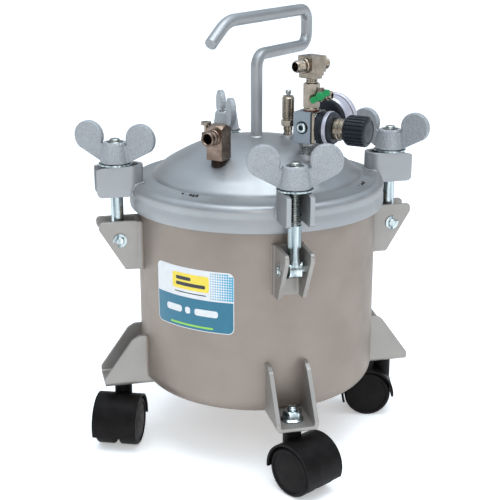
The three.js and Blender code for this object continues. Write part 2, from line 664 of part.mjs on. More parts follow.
// Pieces turned about Z are laid along the regulator's X; the gauge is laid along its Y.
const along = new THREE.Group();
along.position.z = REGULATOR.z;
along.rotation.y = Math.PI / 2;
along.add(
  mesh('regulator_bonnet', bonnet(), blackPlastic),
  mesh('bonnet_ring', bonnetRing(), zinc),
  mesh('regulator_neck', regulatorNeck(), nickel),
  mesh('regulator_knob', knob(), blackPlastic),
);
const needle = mesh('gauge_needle', gaugeNeedle(), blackPlastic);
needle.rotation.z = NEEDLE.zero * DEG;
const gauge = new THREE.Group();
gauge.position.z = REGULATOR.z - 1;
gauge.rotation.x = -Math.PI / 2;
gauge.add(mesh('pressure_gauge', gaugeCase(), zinc), needle);
const riserMesh = mesh('riser', riser(), nickel);
riserMesh.position.x = RISER.offset;
const valve = mesh('ball_valve', ballValve(), nickel);
valve.position.set(RISER.offset, 0, VALVE.z);
const lever = mesh('valve_lever', valveLever(), greenPlastic);
lever.position.set(RISER.offset + VALVE.leverX, 0, VALVE.z);
lever.rotation.y = VALVE.leverTurn * DEG;
const regulatorBlock = mesh('regulator_body', regulatorBody(), nickel);
const regulator = groupAt(REGULATOR.azimuth, regulatorBlock, along, gauge, riserMesh, valve, lever);
regulator.position.set(REGULATOR.x, REGULATOR.y, 0);
pot.add(regulator);

const tee = groupAt(TEE.azimuth, mesh('inlet_tee', inletTee(), nickel));
tee.position.set(
  REGULATOR.x + RISER.offset * Math.cos(REGULATOR.azimuth * DEG),
  REGULATOR.y + RISER.offset * Math.sin(REGULATOR.azimuth * DEG),
  0,
);
pot.add(tee);

export default pot;
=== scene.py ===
import json
import math
import random

import bmesh
import bpy
from mathutils import Matrix, Vector, noise


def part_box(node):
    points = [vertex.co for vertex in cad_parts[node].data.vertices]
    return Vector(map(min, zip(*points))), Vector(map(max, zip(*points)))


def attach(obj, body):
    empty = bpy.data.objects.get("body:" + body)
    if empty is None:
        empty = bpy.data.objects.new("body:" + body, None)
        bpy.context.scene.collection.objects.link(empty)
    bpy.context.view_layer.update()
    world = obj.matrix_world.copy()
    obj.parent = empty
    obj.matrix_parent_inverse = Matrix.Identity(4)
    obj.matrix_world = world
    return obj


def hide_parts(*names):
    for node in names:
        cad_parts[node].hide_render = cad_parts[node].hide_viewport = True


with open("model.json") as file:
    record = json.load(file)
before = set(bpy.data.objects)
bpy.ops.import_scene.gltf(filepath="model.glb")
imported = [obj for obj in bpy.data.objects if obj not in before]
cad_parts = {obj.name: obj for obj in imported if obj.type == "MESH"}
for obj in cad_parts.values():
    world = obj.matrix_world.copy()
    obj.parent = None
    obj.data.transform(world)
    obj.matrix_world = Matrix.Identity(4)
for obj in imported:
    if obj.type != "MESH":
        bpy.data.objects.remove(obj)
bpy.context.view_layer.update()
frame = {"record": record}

# ---------------- driving dimensions, in millimetres
MM = 0.001
TAU = 2 * math.pi
record = frame["record"]


def span(node):
    """Lowest and highest corner of a CAD node, in millimetres."""
    low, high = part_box(node)
    return low / MM, high / MM


def middle(node):
    low, high = span(node)
    return (low + high) / 2


tank_low, tank_high = span("tank_body")
lid_low, lid_high = span("lid")
pivot = middle("pivot_pin_right")
washer_low, washer_high = span("clamp_washer_right")
nut_low = span("wing_nut_right")[0]
bolt_high = span("swing_bolt_right")[1]
ear_low, ear_high = span("lid_ear_right")
clevis_low, clevis_high = span("clevis_right")
foot_low, foot_high = span("foot_bracket_right")

TANK_RADIUS = 122.0
TANK_WALL = 2.5
TANK_CORNER = 18.0
BASE_Z = tank_low.z
RIM_Z = tank_high.z
RIM_OUTER = tank_high.x
RIM_INNER = RIM_OUTER - 8
FLARE_Z = RIM_Z - 12
LID_RADIUS = lid_high.x
SKIRT_Z = lid_low.z
APEX_Z = lid_high.z
SEAT_Z = 267.6
CLAMP_RADIUS = pivot.x
PIVOT_Z = pivot.z
EAR_OUTER = ear_high.x
EAR_WIDTH = 26.5
EAR_THICK = 4.5
CLEVIS_HALF = 14.0
CLEVIS_THICK = 4.0
BOLT_RADIUS = 6.4
FOOT_OUTER = foot_high.x
FOOT_HALF = foot_high.y
FOOT_PLATE = 4.0
WHEEL_RADIUS = 25.0
WHEEL_TRAIL = 17.0
CASTER_HALF = 23.0

# Azimuth of each clamp station, turn of its wing nut and trail direction of its caster, in degrees.
STATIONS = {
    "front": (-90, -10, -60),
    "right": (0, -47, 166),
    "back": (90, 89, 60),
    "left": (180, -35, -112),
}
REGULATOR = Vector((36.9, -54.9, 335.0))
REGULATOR_TURN = -43.0
REGULATOR_HALF = 15.5
DIAL_START, DIAL_SWEEP = -135.0, 270.0
TEE_TURN = 29.0
OUTLET_TURN = 226.5
RISER_OFFSET = 4.5
VALVE_Z = 366.6
# Radius and drop from the apex along the dome.
DOME = [(0, 0), (30, 1.8), (60, 8), (90, 22.8), (104.5, 33.9)]
LABEL_AZIMUTH = -156.1
LABEL_Z = 146.5
LABEL_WIDTH = 90.0
LABEL_HEIGHT = 62.0


# ---------------- forms, in millimetres
class Form:
    """Points and faces of one or more closed surfaces."""

    def __init__(self, points=(), faces=()):
        self.points = [Vector(p) for p in points]
        self.faces = [tuple(f) for f in faces]

    def __add__(self, other):
        start = len(self.points)
        shifted = [tuple(i + start for i in face) for face in other.faces]
        return Form(self.points + other.points, self.faces + shifted)

    def at(self, matrix):
        return Form([matrix @ p for p in self.points], self.faces)


def move(x=0.0, y=0.0, z=0.0):
    return Matrix.Translation((x, y, z))


def turn(degrees, axis="Z"):
    return Matrix.Rotation(math.radians(degrees), 4, axis)


ALONG_X = turn(90, "Y")
ALONG_Y = turn(-90, "X")


def polar(radius, angle):
    return radius * math.cos(angle), radius * math.sin(angle)


def arc(x, y, radius, start, stop, steps):
    """Points on a circular arc, its angles in degrees."""
    angles = [math.radians(start + (stop - start) * k / steps) for k in range(steps + 1)]
    return [(x + radius * math.cos(a), y + radius * math.sin(a)) for a in angles]


def curve(points, steps):
    """Catmull-Rom curve through points, level at the first one."""
    knots = [Vector(p) for p in points]
    knots = [Vector((2 * knots[0].x - knots[1].x, knots[1].y)), *knots, 2 * knots[-1] - knots[-2]]
    result = []
    for a, b, c, d in zip(knots, knots[1:], knots[2:], knots[3:]):
        for k in range(steps):
            t = k / steps
            bend = (2 * a - 5 * b + 4 * c - d) * t * t + (3 * b - a - 3 * c + d) * t ** 3
            result.append(tuple(b + ((c - a) * t + bend) / 2))
    return [*result, tuple(knots[-2])]


def rounded(corners, radius, steps=6, closed=True):
    """Outline with each corner turned into an arc; radius is one number or one for each corner."""
    count = len(corners)
    radii = radius if isinstance(radius, (list, tuple)) else [radius] * count
    result = []
    for k, corner in enumerate(corners):
        here = Vector(corner)
        if radii[k] == 0 or (not closed and k in (0, count - 1)):
            result.append(tuple(here))
            continue
        before = (Vector(corners[k - 1]) - here).normalized()
        after = (Vector(corners[(k + 1) % count]) - here).normalized()
        half = before.angle(after) / 2
        centre = here + (before + after).normalized() * radii[k] / math.sin(half)
        first = here + before * radii[k] / math.tan(half) - centre
        last = here + after * radii[k] / math.tan(half) - centre
        result += [tuple(centre + first.slerp(last, i / steps) * radii[k]) for i in range(steps + 1)]
    return result


def circle(radius, z, count):
    return [(*polar(radius, TAU * k / count), z) for k in range(count)]


def skin(rows, sides):
    """Faces that join each row of points to the next one, round a closed section."""
    faces = []
    for row in range(rows):
        for k in range(sides):
            a, b = row * sides + k, row * sides + (k + 1) % sides
            faces.append((a, b, b + sides, a + sides))
    return faces


def caps(last, sides):
    """Faces that close the first row and the row whose first point is last."""
    return [tuple(reversed(range(sides))), tuple(range(last, last + sides))]


def lathe(profile, segments=96):
    """Solid of revolution about Z; its profile starts and ends on the axis."""
    points = [point for radius, z in profile for point in circle(radius, z, segments)]
    return Form(points, skin(len(profile) - 1, segments))


def hoop(profile, segments=96):
    """Ring turned about Z from a closed profile."""
    return lathe([*profile, profile[0]], segments)


def disc(radius, low, high, segments):
    return lathe([(0, low), (radius, low), (radius, high), (0, high)], segments)


def rod(radius, low, high, chamfer=0.4, segments=48):
    inner = radius - chamfer
    profile = [(0, low), (inner, low), (radius, low + chamfer)]
    return lathe([*profile, (radius, high - chamfer), (inner, high), (0, high)], segments)


def ring(inner, outer, low, high, segments=64):
    return hoop([(inner, low), (outer, low), (outer, high), (inner, high)], segments)


def prism(outline, low, high):
    """Outline in X-Y drawn up from low to high."""
    count = len(outline)
    points = [(x, y, z) for z in (low, high) for x, y in outline]
    return Form(points, caps(count, count) + skin(1, count))


def side_prism(outline, low, high):
    """Outline in X-Z drawn along Y from low to high."""
    return prism([(x, -z) for x, z in outline], low, high).at(ALONG_Y)


def block(x0, x1, y0, y1, z0, z1):
    return prism([(x0, y0), (x1, y0), (x1, y1), (x0, y1)], z0, z1)


def polygon(sides, across, first=30):
    """Regular outline measured across its flats."""
    reach = across / 2 / math.cos(math.pi / sides)
    angles = [math.radians(first + 360 * k / sides) for k in range(sides)]
    return [polar(reach, a) for a in angles]


def hex_nut(across, low, high, chamfer_low=True):
    """Hexagon whose corners are turned off at the ends."""
    wide, drop = across * 0.59, across * 0.09
    foot = [(0, low), (wide - drop, low), (wide, low + drop)] if chamfer_low else [(0, low), (wide, low)]
    cone = lathe([*foot, (wide, high - drop), (wide - drop * 1.6, high), (0, high)], 96)
    return common(prism(polygon(6, across), low, high), cone)


def sweep(path, radius, sides=20):
    """Round bar along a path; radius is one number or one for each point."""
    path = [Vector(p) for p in path]
    radii = radius if isinstance(radius, (list, tuple)) else [radius] * len(path)
    normal = (path[1] - path[0]).orthogonal().normalized()
    points = []
    for k, here in enumerate(path):
        along = (path[min(k + 1, len(path) - 1)] - path[max(k - 1, 0)]).normalized()
        normal = (normal - along * normal.dot(along)).normalized()
        across = along.cross(normal)
        for i in range(sides):
            angle = TAU * i / sides
            points.append(here + (normal * math.cos(angle) + across * math.sin(angle)) * radii[k])
    rows = len(path) - 1
    return Form(points, skin(rows, sides) + caps(rows * sides, sides))


def bead(path, radius, seed, sides=10):
    """Weld bead: a rippled, uneven bar along a path."""
    length, radii = 0.0, []
    for k, point in enumerate(path):
        length += (Vector(point) - Vector(path[max(k - 1, 0)])).length
        uneven = noise.noise(Vector((length * 0.35, seed, 0.5)))
        radii.append(radius * (1 + 0.12 * math.sin(length * 2.6) + 0.3 * uneven))
    return sweep(path, radii, sides)


def threaded(radius, bore, pitch, low, high, sides=36, rows_per_turn=8):
    """Threaded length about Z with a helical ridge; bore 0 makes it solid."""
    depth = pitch * 0.55
    rows = max(4, round((high - low) / pitch * rows_per_turn))
    points = []
    for row in range(rows + 1):
        z = low + (high - low) * row / rows
        fade = min(1, (z - low) / pitch, (high - z) / pitch)
        for k in range(sides):
            phase = (z / pitch - k / sides) % 1
            reach = radius - depth * (1 - fade) - depth * fade * (1 - abs(2 * phase - 1))
            points.append((*polar(reach, TAU * k / sides), z))
    faces, top = skin(rows, sides), rows * sides
    if bore == 0:
        return Form(points, faces + caps(top, sides))
    start = len(points)
    points += circle(bore, low, sides) + circle(bore, high, sides)
    for k in range(sides):
        n = (k + 1) % sides
        inner = start + k, start + n, start + sides + n, start + sides + k
        faces += [inner, (k, n, inner[1], inner[0])]
        faces.append((top + k, top + n, inner[2], inner[3]))
    return Form(points, faces)


def mesh_of(form, name="scratch"):
    """Mesh of a form with shared points merged and faces pointing out."""
    mesh = bpy.data.meshes.new(name)
    mesh.from_pydata(form.points, [], form.faces)
    build = bmesh.new()
    build.from_mesh(mesh)
    bmesh.ops.remove_doubles(build, verts=build.verts, dist=1e-3)
    bmesh.ops.recalc_face_normals(build, faces=build.faces)
    build.to_mesh(mesh)
    build.free()
    return mesh


def linked(name, data):
    obj = bpy.data.objects.new(name, data)
    bpy.context.scene.collection.objects.link(obj)
    return obj


def settled(*objects):
    """Form of the first object with its modifiers applied; all the objects are removed."""
    evaluated = objects[0].evaluated_get(bpy.context.evaluated_depsgraph_get())
    mesh = bpy.data.meshes.new_from_object(evaluated)
    form = Form([v.co.copy() for v in mesh.vertices], [tuple(p.vertices) for p in mesh.polygons])
    bpy.data.meshes.remove(mesh)
    for spare in objects:
        bpy.data.objects.remove(spare)
    return form


def boolean(operation, first, *others):
    base = linked("scratch", mesh_of(first))
    tools = [linked("scratch", mesh_of(other)) for other in others]
    for tool in tools:
        modifier = base.modifiers.new("boolean", "BOOLEAN")
        modifier.operation = operation
        modifier.solver = "EXACT"
        modifier.object = tool
    return settled(base, *tools)


def common(first, *others):
    return boolean("INTERSECT", first, *others)


def carved(first, *others):
    return boolean("DIFFERENCE", first, *others)


def fused(first, *others):
    return boolean("UNION", first, *others)


def cast(form, voxel, smoothing):
    """Form with its joints run together and its edges softened, as a casting has them."""
    obj = linked("scratch", mesh_of(form))
    remesh = obj.modifiers.new("remesh", "REMESH")
    remesh.mode = "VOXEL"
    remesh.voxel_size = voxel
    smooth = obj.modifiers.new("smooth", "SMOOTH")
    smooth.factor = 0.5
    smooth.iterations = smoothing
    return settled(obj)


# ---------------- finishes
class Surface:
    """Principled material whose colour, roughness and relief follow noise clouds over the piece.

    A cloud is the size of its features in millimetres, its detail and sometimes its stretch.
    """

    def __init__(self, name, slot=None, **sockets):
        self.material = bpy.data.materials.new(name)
        self.material.use_nodes = True
        self.slot = slot or name
        self.tree = self.material.node_tree
        self.shader = self.tree.nodes["Principled BSDF"]
        self.place = self.tree.nodes.new("ShaderNodeTexCoord").outputs["Object"]
        self.normal = None
        for socket, value in sockets.items():
            self.shader.inputs[socket.replace("_", " ")].default_value = value

    def node(self, kind, inputs=(), **settings):
        made = self.tree.nodes.new(kind)
        for key, value in settings.items():
            setattr(made, key, value)
        for key, value in dict(inputs).items():
            if isinstance(value, bpy.types.NodeSocket):
                self.tree.links.new(value, made.inputs[key])
            else:
                made.inputs[key].default_value = value
        return made

    def noise(self, size, detail=2.0, stretch=(1, 1, 1)):
        """Noise between 0 and 1 whose features are about size millimetres across."""
        scale = self.node("ShaderNodeMapping", {"Vector": self.place, "Scale": stretch})
        inputs = {"Vector": scale.outputs[0], "Scale": 1 / (size * MM), "Detail": detail}
        return self.node("ShaderNodeTexNoise", inputs).outputs["Fac"]

    def ramp(self, value, low, high, stops=(0.35, 0.65)):
        """Value spread between two colours or two numbers."""
        inputs = {"Value": value, "From Min": stops[0], "From Max": stops[1]}
        if isinstance(low, (int, float)):
            return self.node("ShaderNodeMapRange", {**inputs, "To Min": low, "To Max": high}).outputs[0]
        share = self.node("ShaderNodeMapRange", inputs).outputs[0]
        mix = self.node("ShaderNodeMix", data_type="RGBA")
        self.tree.links.new(share, mix.inputs[0])
        mix.inputs[6].default_value = (*low, 1)
        mix.inputs[7].default_value = (*high, 1)
        return mix.outputs[2]

    def colour(self, cloud, low, high, stops=(0.35, 0.65)):
        mottle = self.ramp(self.noise(*cloud), low, high, stops)
        self.tree.links.new(mottle, self.shader.inputs["Base Color"])

    def rough(self, cloud, low, high):
        wear = self.ramp(self.noise(*cloud), low, high)
        self.tree.links.new(wear, self.shader.inputs["Roughness"])

    def relief(self, cloud, depth, strength=1.0):
        """Bump of a depth in millimetres, added to any relief already there."""
        inputs = {"Height": self.noise(*cloud), "Distance": depth * MM, "Strength": strength}
        if self.normal is not None:
            inputs["Normal"] = self.normal
        self.normal = self.node("ShaderNodeBump", inputs).outputs[0]
        self.tree.links.new(self.normal, self.shader.inputs["Normal"])


def painted(name, light, dark, metallic, roughness, slot=None):
    """Sprayed silver paint: faint clouds, fine flake and orange peel."""
    surface = Surface(name, slot, Metallic=metallic, Specular_Tint=(0.62, 0.6, 0.58, 1))
    surface.colour((70, 3), dark, light, (0.3, 0.7))
    surface.rough((18, 4), roughness, roughness + 0.1)
    surface.relief((90, 2), 1.2, 0.35)
    surface.relief((4.5, 3), 0.05)
    surface.relief((0.7, 2), 0.02)
    return surface


def casting():
    """Silver paint over a grainy sand casting."""
    surface = Surface("cast_metal", Metallic=0.5)
    surface.colour((1.3, 3), (0.29, 0.3, 0.315), (0.4, 0.41, 0.425), (0.3, 0.7))
    surface.rough((6, 3), 0.5, 0.66)
    surface.relief((1.6, 4), 1.1)
    surface.relief((0.6, 3), 0.25)
    return surface


def plated(name, light, dark, roughness, stain_and_sheen_size=9.0, grain=(1, 1, 1), slot=None):
    """Machined and plated metal with fine tool marks and slight staining, drawn out along the grain; a long
    grain stretches the colour clouds into dark and light streaks that are a painted reflection.
    """
    surface = Surface(name, slot, Metallic=1.0)
    # Colour clouds: slight staining; stretched by a long grain they become painted reflection streaks.
    surface.colour((stain_and_sheen_size, 3, grain), dark, light, (0.35, 0.65))
    surface.rough((3, 4), roughness, roughness + 0.14)
    surface.relief((0.5, 3, grain), 0.02)
    return surface


def moulded(name, light, dark, roughness, shine=0.25, slot=None):
    """Moulded plastic or rubber with a fine grain."""
    surface = Surface(name, slot, Metallic=0.0, Specular_IOR_Level=shine)
    surface.colour((12, 3), dark, light)
    surface.rough((5, 3), roughness, roughness + 0.12)
    surface.relief((0.8, 2), 0.03)
    return surface


def printed(name, tone):
    """Glossy printed film with a very slight mottle."""
    surface = Surface(name, "label", Metallic=0.0, Coat_Weight=0.15, Coat_Roughness=0.2)
    surface.colour((6, 2), tuple(0.94 * c for c in tone), tone)
    surface.rough((2, 2), 0.28, 0.36)
    surface.relief((8, 2), 0.02)
    return surface


def lens_glass():
    surface = Surface("gauge_lens", Metallic=0.0, Transmission_Weight=1.0, IOR=1.45)
    surface.colour((20, 2), (0.95, 0.97, 0.97), (1, 1, 1))
    surface.rough((6, 3), 0.01, 0.04)
    return surface


TANK_PAINT = painted("tank_paint", (0.295, 0.248, 0.214), (0.243, 0.2, 0.17), 0.6, 0.38)
# The brackets wear the tank's paint, drawn lighter than the tank: painted light.
BRACKET_LIT_PAINT = painted("bracket_paint_lit", (0.35, 0.328, 0.306), (0.29, 0.27, 0.25), 0.58, 0.38,
                        slot="tank_paint")
# The lid wears the tank's paint; its lighter, cooler tint is a painted reflection of the bright sky above.
LID_SKY_TINTED_PAINT = painted("lid_paint", (0.345, 0.352, 0.36), (0.29, 0.297, 0.304), 0.62, 0.35)
CAST_METAL = casting()
# Zinc's long vertical streaks, dark teal to bright, are a painted reflection of dark and light surroundings.
ZINC = plated("zinc", (0.66, 0.72, 0.72), (0.13, 0.17, 0.185), 0.14, 3.2, (1, 1, 0.04))
STEEL = plated("thread_steel", (0.36, 0.375, 0.36), (0.26, 0.27, 0.26), 0.22, slot="zinc")
CASE = painted("gauge_case", (0.5, 0.49, 0.55), (0.42, 0.41, 0.47), 0.4, 0.28, slot="zinc")
NICKEL = plated("nickel", (0.345, 0.29, 0.235), (0.24, 0.2, 0.158), 0.18)
# Nickel drawn darker and browner for the outlet: a painted reflection of dark, warm surroundings.
OUTLET_SHADED_NICKEL = plated("outlet_nickel_shaded", (0.27, 0.2, 0.16), (0.16, 0.115, 0.09), 0.24, slot="nickel")
REGULATOR_CAST = painted("regulator_cast", (0.27, 0.31, 0.345), (0.21, 0.24, 0.27), 0.6, 0.34, slot="nickel")
BLACK = moulded("black_plastic", (0.014, 0.017, 0.024), (0.008, 0.01, 0.014), 0.3)
TYRE = moulded("caster_plastic", (0.009, 0.007, 0.007), (0.005, 0.004, 0.004), 0.42, 0.1,
               slot="black_plastic")
GREEN = moulded("green_plastic", (0.012, 0.3, 0.09), (0.006, 0.2, 0.055), 0.22)
RUBBER = moulded("rubber", (0.03, 0.03, 0.03), (0.018, 0.018, 0.018), 0.6)
SEALANT = moulded("thread_sealant", (0.19, 0.035, 0.02), (0.11, 0.02, 0.012), 0.45, slot="nickel")
# Dark brown: the nipple's own thread colour, with painted shadow from the block folded in.
BROWN = moulded("thread_brown_and_shade", (0.03, 0.016, 0.011), (0.012, 0.007, 0.005), 0.4, slot="nickel")
DIAL = moulded("gauge_dial", (0.88, 0.88, 0.86), (0.82, 0.82, 0.8), 0.45)
LENS = lens_glass()
FILM = {
    "white": printed("label_white", (0.66, 0.66, 0.67)),
    "teal": printed("label_teal", (0.003, 0.13, 0.21)),
    "yellow": printed("label_yellow", (0.78, 0.6, 0.05)),
    "black": printed("label_black", (0.012, 0.012, 0.014)),
    "lime": printed("label_lime", (0.25, 0.55, 0.06)),
    "sky": printed("label_sky", (0.05, 0.32, 0.48)),
}

# ---------------- pieces
# Body that each CAD node belongs to.
BODY_OF = {node: body for body, nodes in record["behaviour"]["bodies"].items() for node in nodes}


def piece(name, form, surface, place=None, body="lid_assembly", edge=0, sharp=32):
    """Object made of a form, riding on a body; edge is the width of its edge rounding."""
    mesh = mesh_of(form if place is None else form.at(place), name)
    mesh.transform(Matrix.Scale(MM, 4))
    mesh.shade_smooth()
    mesh.set_sharp_from_angle(angle=math.radians(sharp))
    mesh.materials.append(surface.material)
    obj = linked(name, mesh)
    if edge:
        bevel = obj.modifiers.new("edges", "BEVEL")
        bevel.width = edge * MM
        bevel.segments = 2
        bevel.limit_method = "ANGLE"
        bevel.angle_limit = math.radians(sharp)
        obj.modifiers.new("normals", "WEIGHTED_NORMAL").keep_sharp = True
    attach(obj, body)
    return obj


def stand_for(node, form, surface, place=None, **looks):
    """Detailed piece in place of one CAD node, riding on that node's body."""
    obj = piece(f"{node}_fine", form, surface, place, BODY_OF[node], **looks)
    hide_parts(node)
    return obj


# ---------------- tank and lid
def tank_profile(grow=0.0):
    """Outside of the tank from the axis at its base up to the flare."""
    flat = TANK_RADIUS - TANK_CORNER
    corner = arc(flat, BASE_Z + TANK_CORNER, TANK_CORNER + grow, -90, 0, 18)
    return [(0, BASE_Z - grow), *corner, (TANK_RADIUS + grow, FLARE_Z)]


def tank():
    low = FLARE_Z + 4
    lip = rounded([(RIM_OUTER, low), (RIM_OUTER, RIM_Z), (RIM_INNER, RIM_Z), (RIM_INNER, low)],
                  [2, 1.5, 1.5, 2], 4, closed=False)
    inside = [(r, z) for r, z in reversed(tank_profile(-TANK_WALL))]
    form = lathe([*tank_profile(), *lip, *inside], 192)
    stand_for("tank_body", form, TANK_PAINT)


def below_apex(points):
    """Radii and drops from the apex, as radii and heights."""
    return [(radius, APEX_Z - drop) for radius, drop in points]


def lid_profile():
    """Outside of the lid from the apex down to the edge of its skirt."""
    dome = below_apex(DOME)
    foot = below_apex([(106.2, 35.8), (106.8, 37.4), (107.8, 37.6), (110, 37.9), (119.4, 40.6)])
    bead_top = arc(LID_RADIUS - 6.8, APEX_Z - 46.8, 6.8, 100, 0, 12)
    skirt = [(LID_RADIUS - 0.2, 266.5), (LID_RADIUS - 0.7, 264.2), (LID_RADIUS - 0.7, 262.6)]
    hem = [(LID_RADIUS - 0.1, 259.5), (LID_RADIUS, 252)]
    hem += [(LID_RADIUS - 0.4, SKIRT_Z + 0.4), (LID_RADIUS - 1.2, SKIRT_Z)]
    return [*curve(dome, 8), *foot, *bead_top, *skirt, *hem]


def lid_height(radius):
    """Height of the lid's outside at a distance from its axis."""
    points = lid_profile()
    for (r0, z0), (r1, z1) in zip(points, points[1:]):
        if r0 <= radius <= r1:
            return z0 + (z1 - z0) * (radius - r0) / max(r1 - r0, 1e-6)
    return SEAT_Z + 1


def lid():
    skirt_inner, inset, wall = LID_RADIUS - 4.4, 1.5, 4.0
    dome = below_apex([(inset, 0), *DOME[1:]])
    hollow = [(r - inset, z - wall) for r, z in reversed(curve(dome, 6))]
    inside = [(skirt_inner, SKIRT_Z), (skirt_inner, SEAT_Z), (112, SEAT_Z), (108, SEAT_Z + 4), *hollow]
    stand_for("lid", lathe([*lid_profile(), *inside], 192), LID_SKY_TINTED_PAINT)
    low, high = span("lid_gasket")
    seal = rounded([(114, low.z), (123.8, low.z), (123.8, high.z), (114, high.z)], 1.4, 4)
    stand_for("lid_gasket", hoop(seal, 128), RUBBER)


def specks(name, azimuth, spread, radius, count, seed):
    """Small dark brown grains set on the lid's outside."""
    draw = random.Random(seed)
    form = Form()
    for _ in range(count):
        size = draw.uniform(0.5, 1.2)
        angle = math.radians(azimuth + draw.uniform(-spread, spread))
        reach = radius + draw.uniform(-1.6, 1.6)
        ball = lathe([(0, -size), *arc(0, 0, size, -60, 60, 4), (0, size)], 9)
        spot = move(*polar(reach, angle), lid_height(reach))
        form += ball.at(spot @ Matrix.Diagonal((draw.uniform(1, 1.8), 1, 0.7, 1)))
    piece(name, form, BROWN)


def handle():
    """Bent round bar standing on the dome, its hooked end cut square."""
    root_z, low_z, high_z, right, left, bar = 303.0, 398.0, 435.5, 103.0, -54.0, 5.9
    bend, hook_bend, tip = 13, 43, (left - 29.5, high_z - 19.5)
    corners = [(0, root_z), (0, low_z), (right, low_z), (right, high_z), (left, high_z), tip]
    line = rounded(corners, [0, bend, bend, bend, hook_bend, 0], 12, closed=False)
    path = [(u, 0, z) for u, z in line]
    base = lid_height(0)
    skirt = [(bar - 1, base - 2), (bar + 2.2, base - 1), (bar + 1.2, base + 0.6), (bar - 1, base + 2.2)]
    stand_for("lid_handle", sweep(path, bar, 40) + hoop(skirt, 48), LID_SKY_TINTED_PAINT, turn(45), edge=0.8)


# ---------------- label
def film_patch(u0, u1, v0, v1, corner, lift):
    """Rounded rectangle of film on the tank wall; u runs round the wall and v up it."""
    thickness = 0.06
    columns = max(8, round((u1 - u0) / 2.2))
    points = []
    for k in range(columns + 1):
        share = (1 - math.cos(math.pi * k / columns)) / 2
        u = u0 + (u1 - u0) * share
        inset = max(0.0, corner - min(u - u0, u1 - u))
        drop = corner - math.sqrt(max(corner ** 2 - inset ** 2, 0))
        drop = min(drop, (v1 - v0) / 2 - 0.01)
        for v, height in ((v0 + drop, lift), (v0 + drop, lift + thickness),
                          (v1 - drop, lift + thickness), (v1 - drop, lift)):
            reach = TANK_RADIUS + height
            angle = math.radians(LABEL_AZIMUTH) + u / TANK_RADIUS
            points.append((*polar(reach, angle), LABEL_Z + v))
    return Form(points, skin(columns, 4) + caps(4 * columns, 4))


def label():
    """Printed film: white head with a plain badge and dots, and a teal foot with plain bars."""
    width, height, split = LABEL_WIDTH, LABEL_HEIGHT, 32.0
    foot = film_patch(0.7, width - 0.7, 0.7, split, 5.4, 0.12)
    layers = {
        "white": film_patch(0, width, 0, height, 6, 0.05),
        "teal": foot + film_patch(0.7, width - 0.7, 9, split, 0.4, 0.125),
        "yellow": film_patch(22.3, 65, 39.8, 56, 2.6, 0.12),
        "lime": film_patch(19, 69, 3.1, 5.0, 0.9, 0.2),
    }
    ink = film_patch(25, 62, 36.1, 37.1, 0.5, 0.12)
    for u0, u1, v0, v1 in ((27, 45, 49, 52.6), (27, 61, 43.2, 46.8)):
        ink += film_patch(u0, u1, v0, v1, 1.2, 0.19)
    bars = Form()
    for u0, u1 in ((14, 34), (38, 44), (49, 74)):
        bars += film_patch(u0, u1, 15.6, 22.4, 2.4, 0.2)
    dots = Form()
    for column in range(10):
        for row in range(11):
            size = 0.6 + 0.07 * column
            u, v = 66.8 + 2.4 * column, 34.6 + 2.5 * row
            if u < width - 1 and v < height - 1 - max(0, column - 6):
                dots += film_patch(u - size, u + size, v - size, v + size, size, 0.12)
    layers |= {"black": ink, "sky": dots}
    for tone, form in layers.items():
        piece(f"label_{tone}", form, FILM[tone], body="root")
    piece("label_bars", bars, FILM["white"], body="root")


# ---------------- clamps
def lid_ear():
    """Bent strap, open outward; its weld to the lid is drawn by ear_weld."""
    half, centre, corner = EAR_WIDTH / 2, ear_low.x + EAR_WIDTH / 2, 5

    def strap(reach, far):
        return [(far, -reach), (far, reach), *arc(centre, 0, reach, 90, 270, 28)]

    band = prism(strap(half, EAR_OUTER + 1), ear_low.z - 1, ear_high.z + 1)
    hollow = prism(strap(half - EAR_THICK, EAR_OUTER + 5), ear_low.z - 2, ear_high.z + 2)
    reach = ear_high.z - PIVOT_Z
    stop = math.degrees(math.acos((EAR_OUTER - CLAMP_RADIUS) / reach))
    inside = ear_low.x - 4
    side = [(inside, SEAT_Z + 2.4), (LID_RADIUS - 0.4, SEAT_Z + 2.4), (LID_RADIUS - 0.4, ear_low.z),
            *arc(EAR_OUTER - corner, ear_low.z + corner, corner, -90, 0, 8)]
    side += [*arc(CLAMP_RADIUS, PIVOT_Z, reach, stop, 90, 6), (inside, ear_high.z)]
    return common(carved(band, hollow), side_prism(side, -half - 1, half + 1))


def ear_weld():
    """Bead up the skirt and over the lid round the back of the strap."""
    half, centre, step = EAR_WIDTH / 2 + 0.5, ear_low.x + EAR_WIDTH / 2, 0.9
    edge_x = math.sqrt(LID_RADIUS ** 2 - half ** 2)
    upright = [(edge_x + 0.3, ear_low.z + 1 + 1.2 * k) for k in range(3)]
    line = [(x, -half, z) for x, z in upright]
    across = [(edge_x - 0.4 - step * k, half) for k in range(int((edge_x - centre) / step))]
    round_back = arc(centre, 0, half, 90, 270, 40)
    plan = [(x, -y) for x, y in across + round_back] + across[::-1]
    line += [(x, y, lid_height(math.hypot(x, y)) + 0.2) for x, y in plan]
    line += [(x, half, z) for x, z in upright[::-1]]
    return bead(line, 1.5, 3.1)


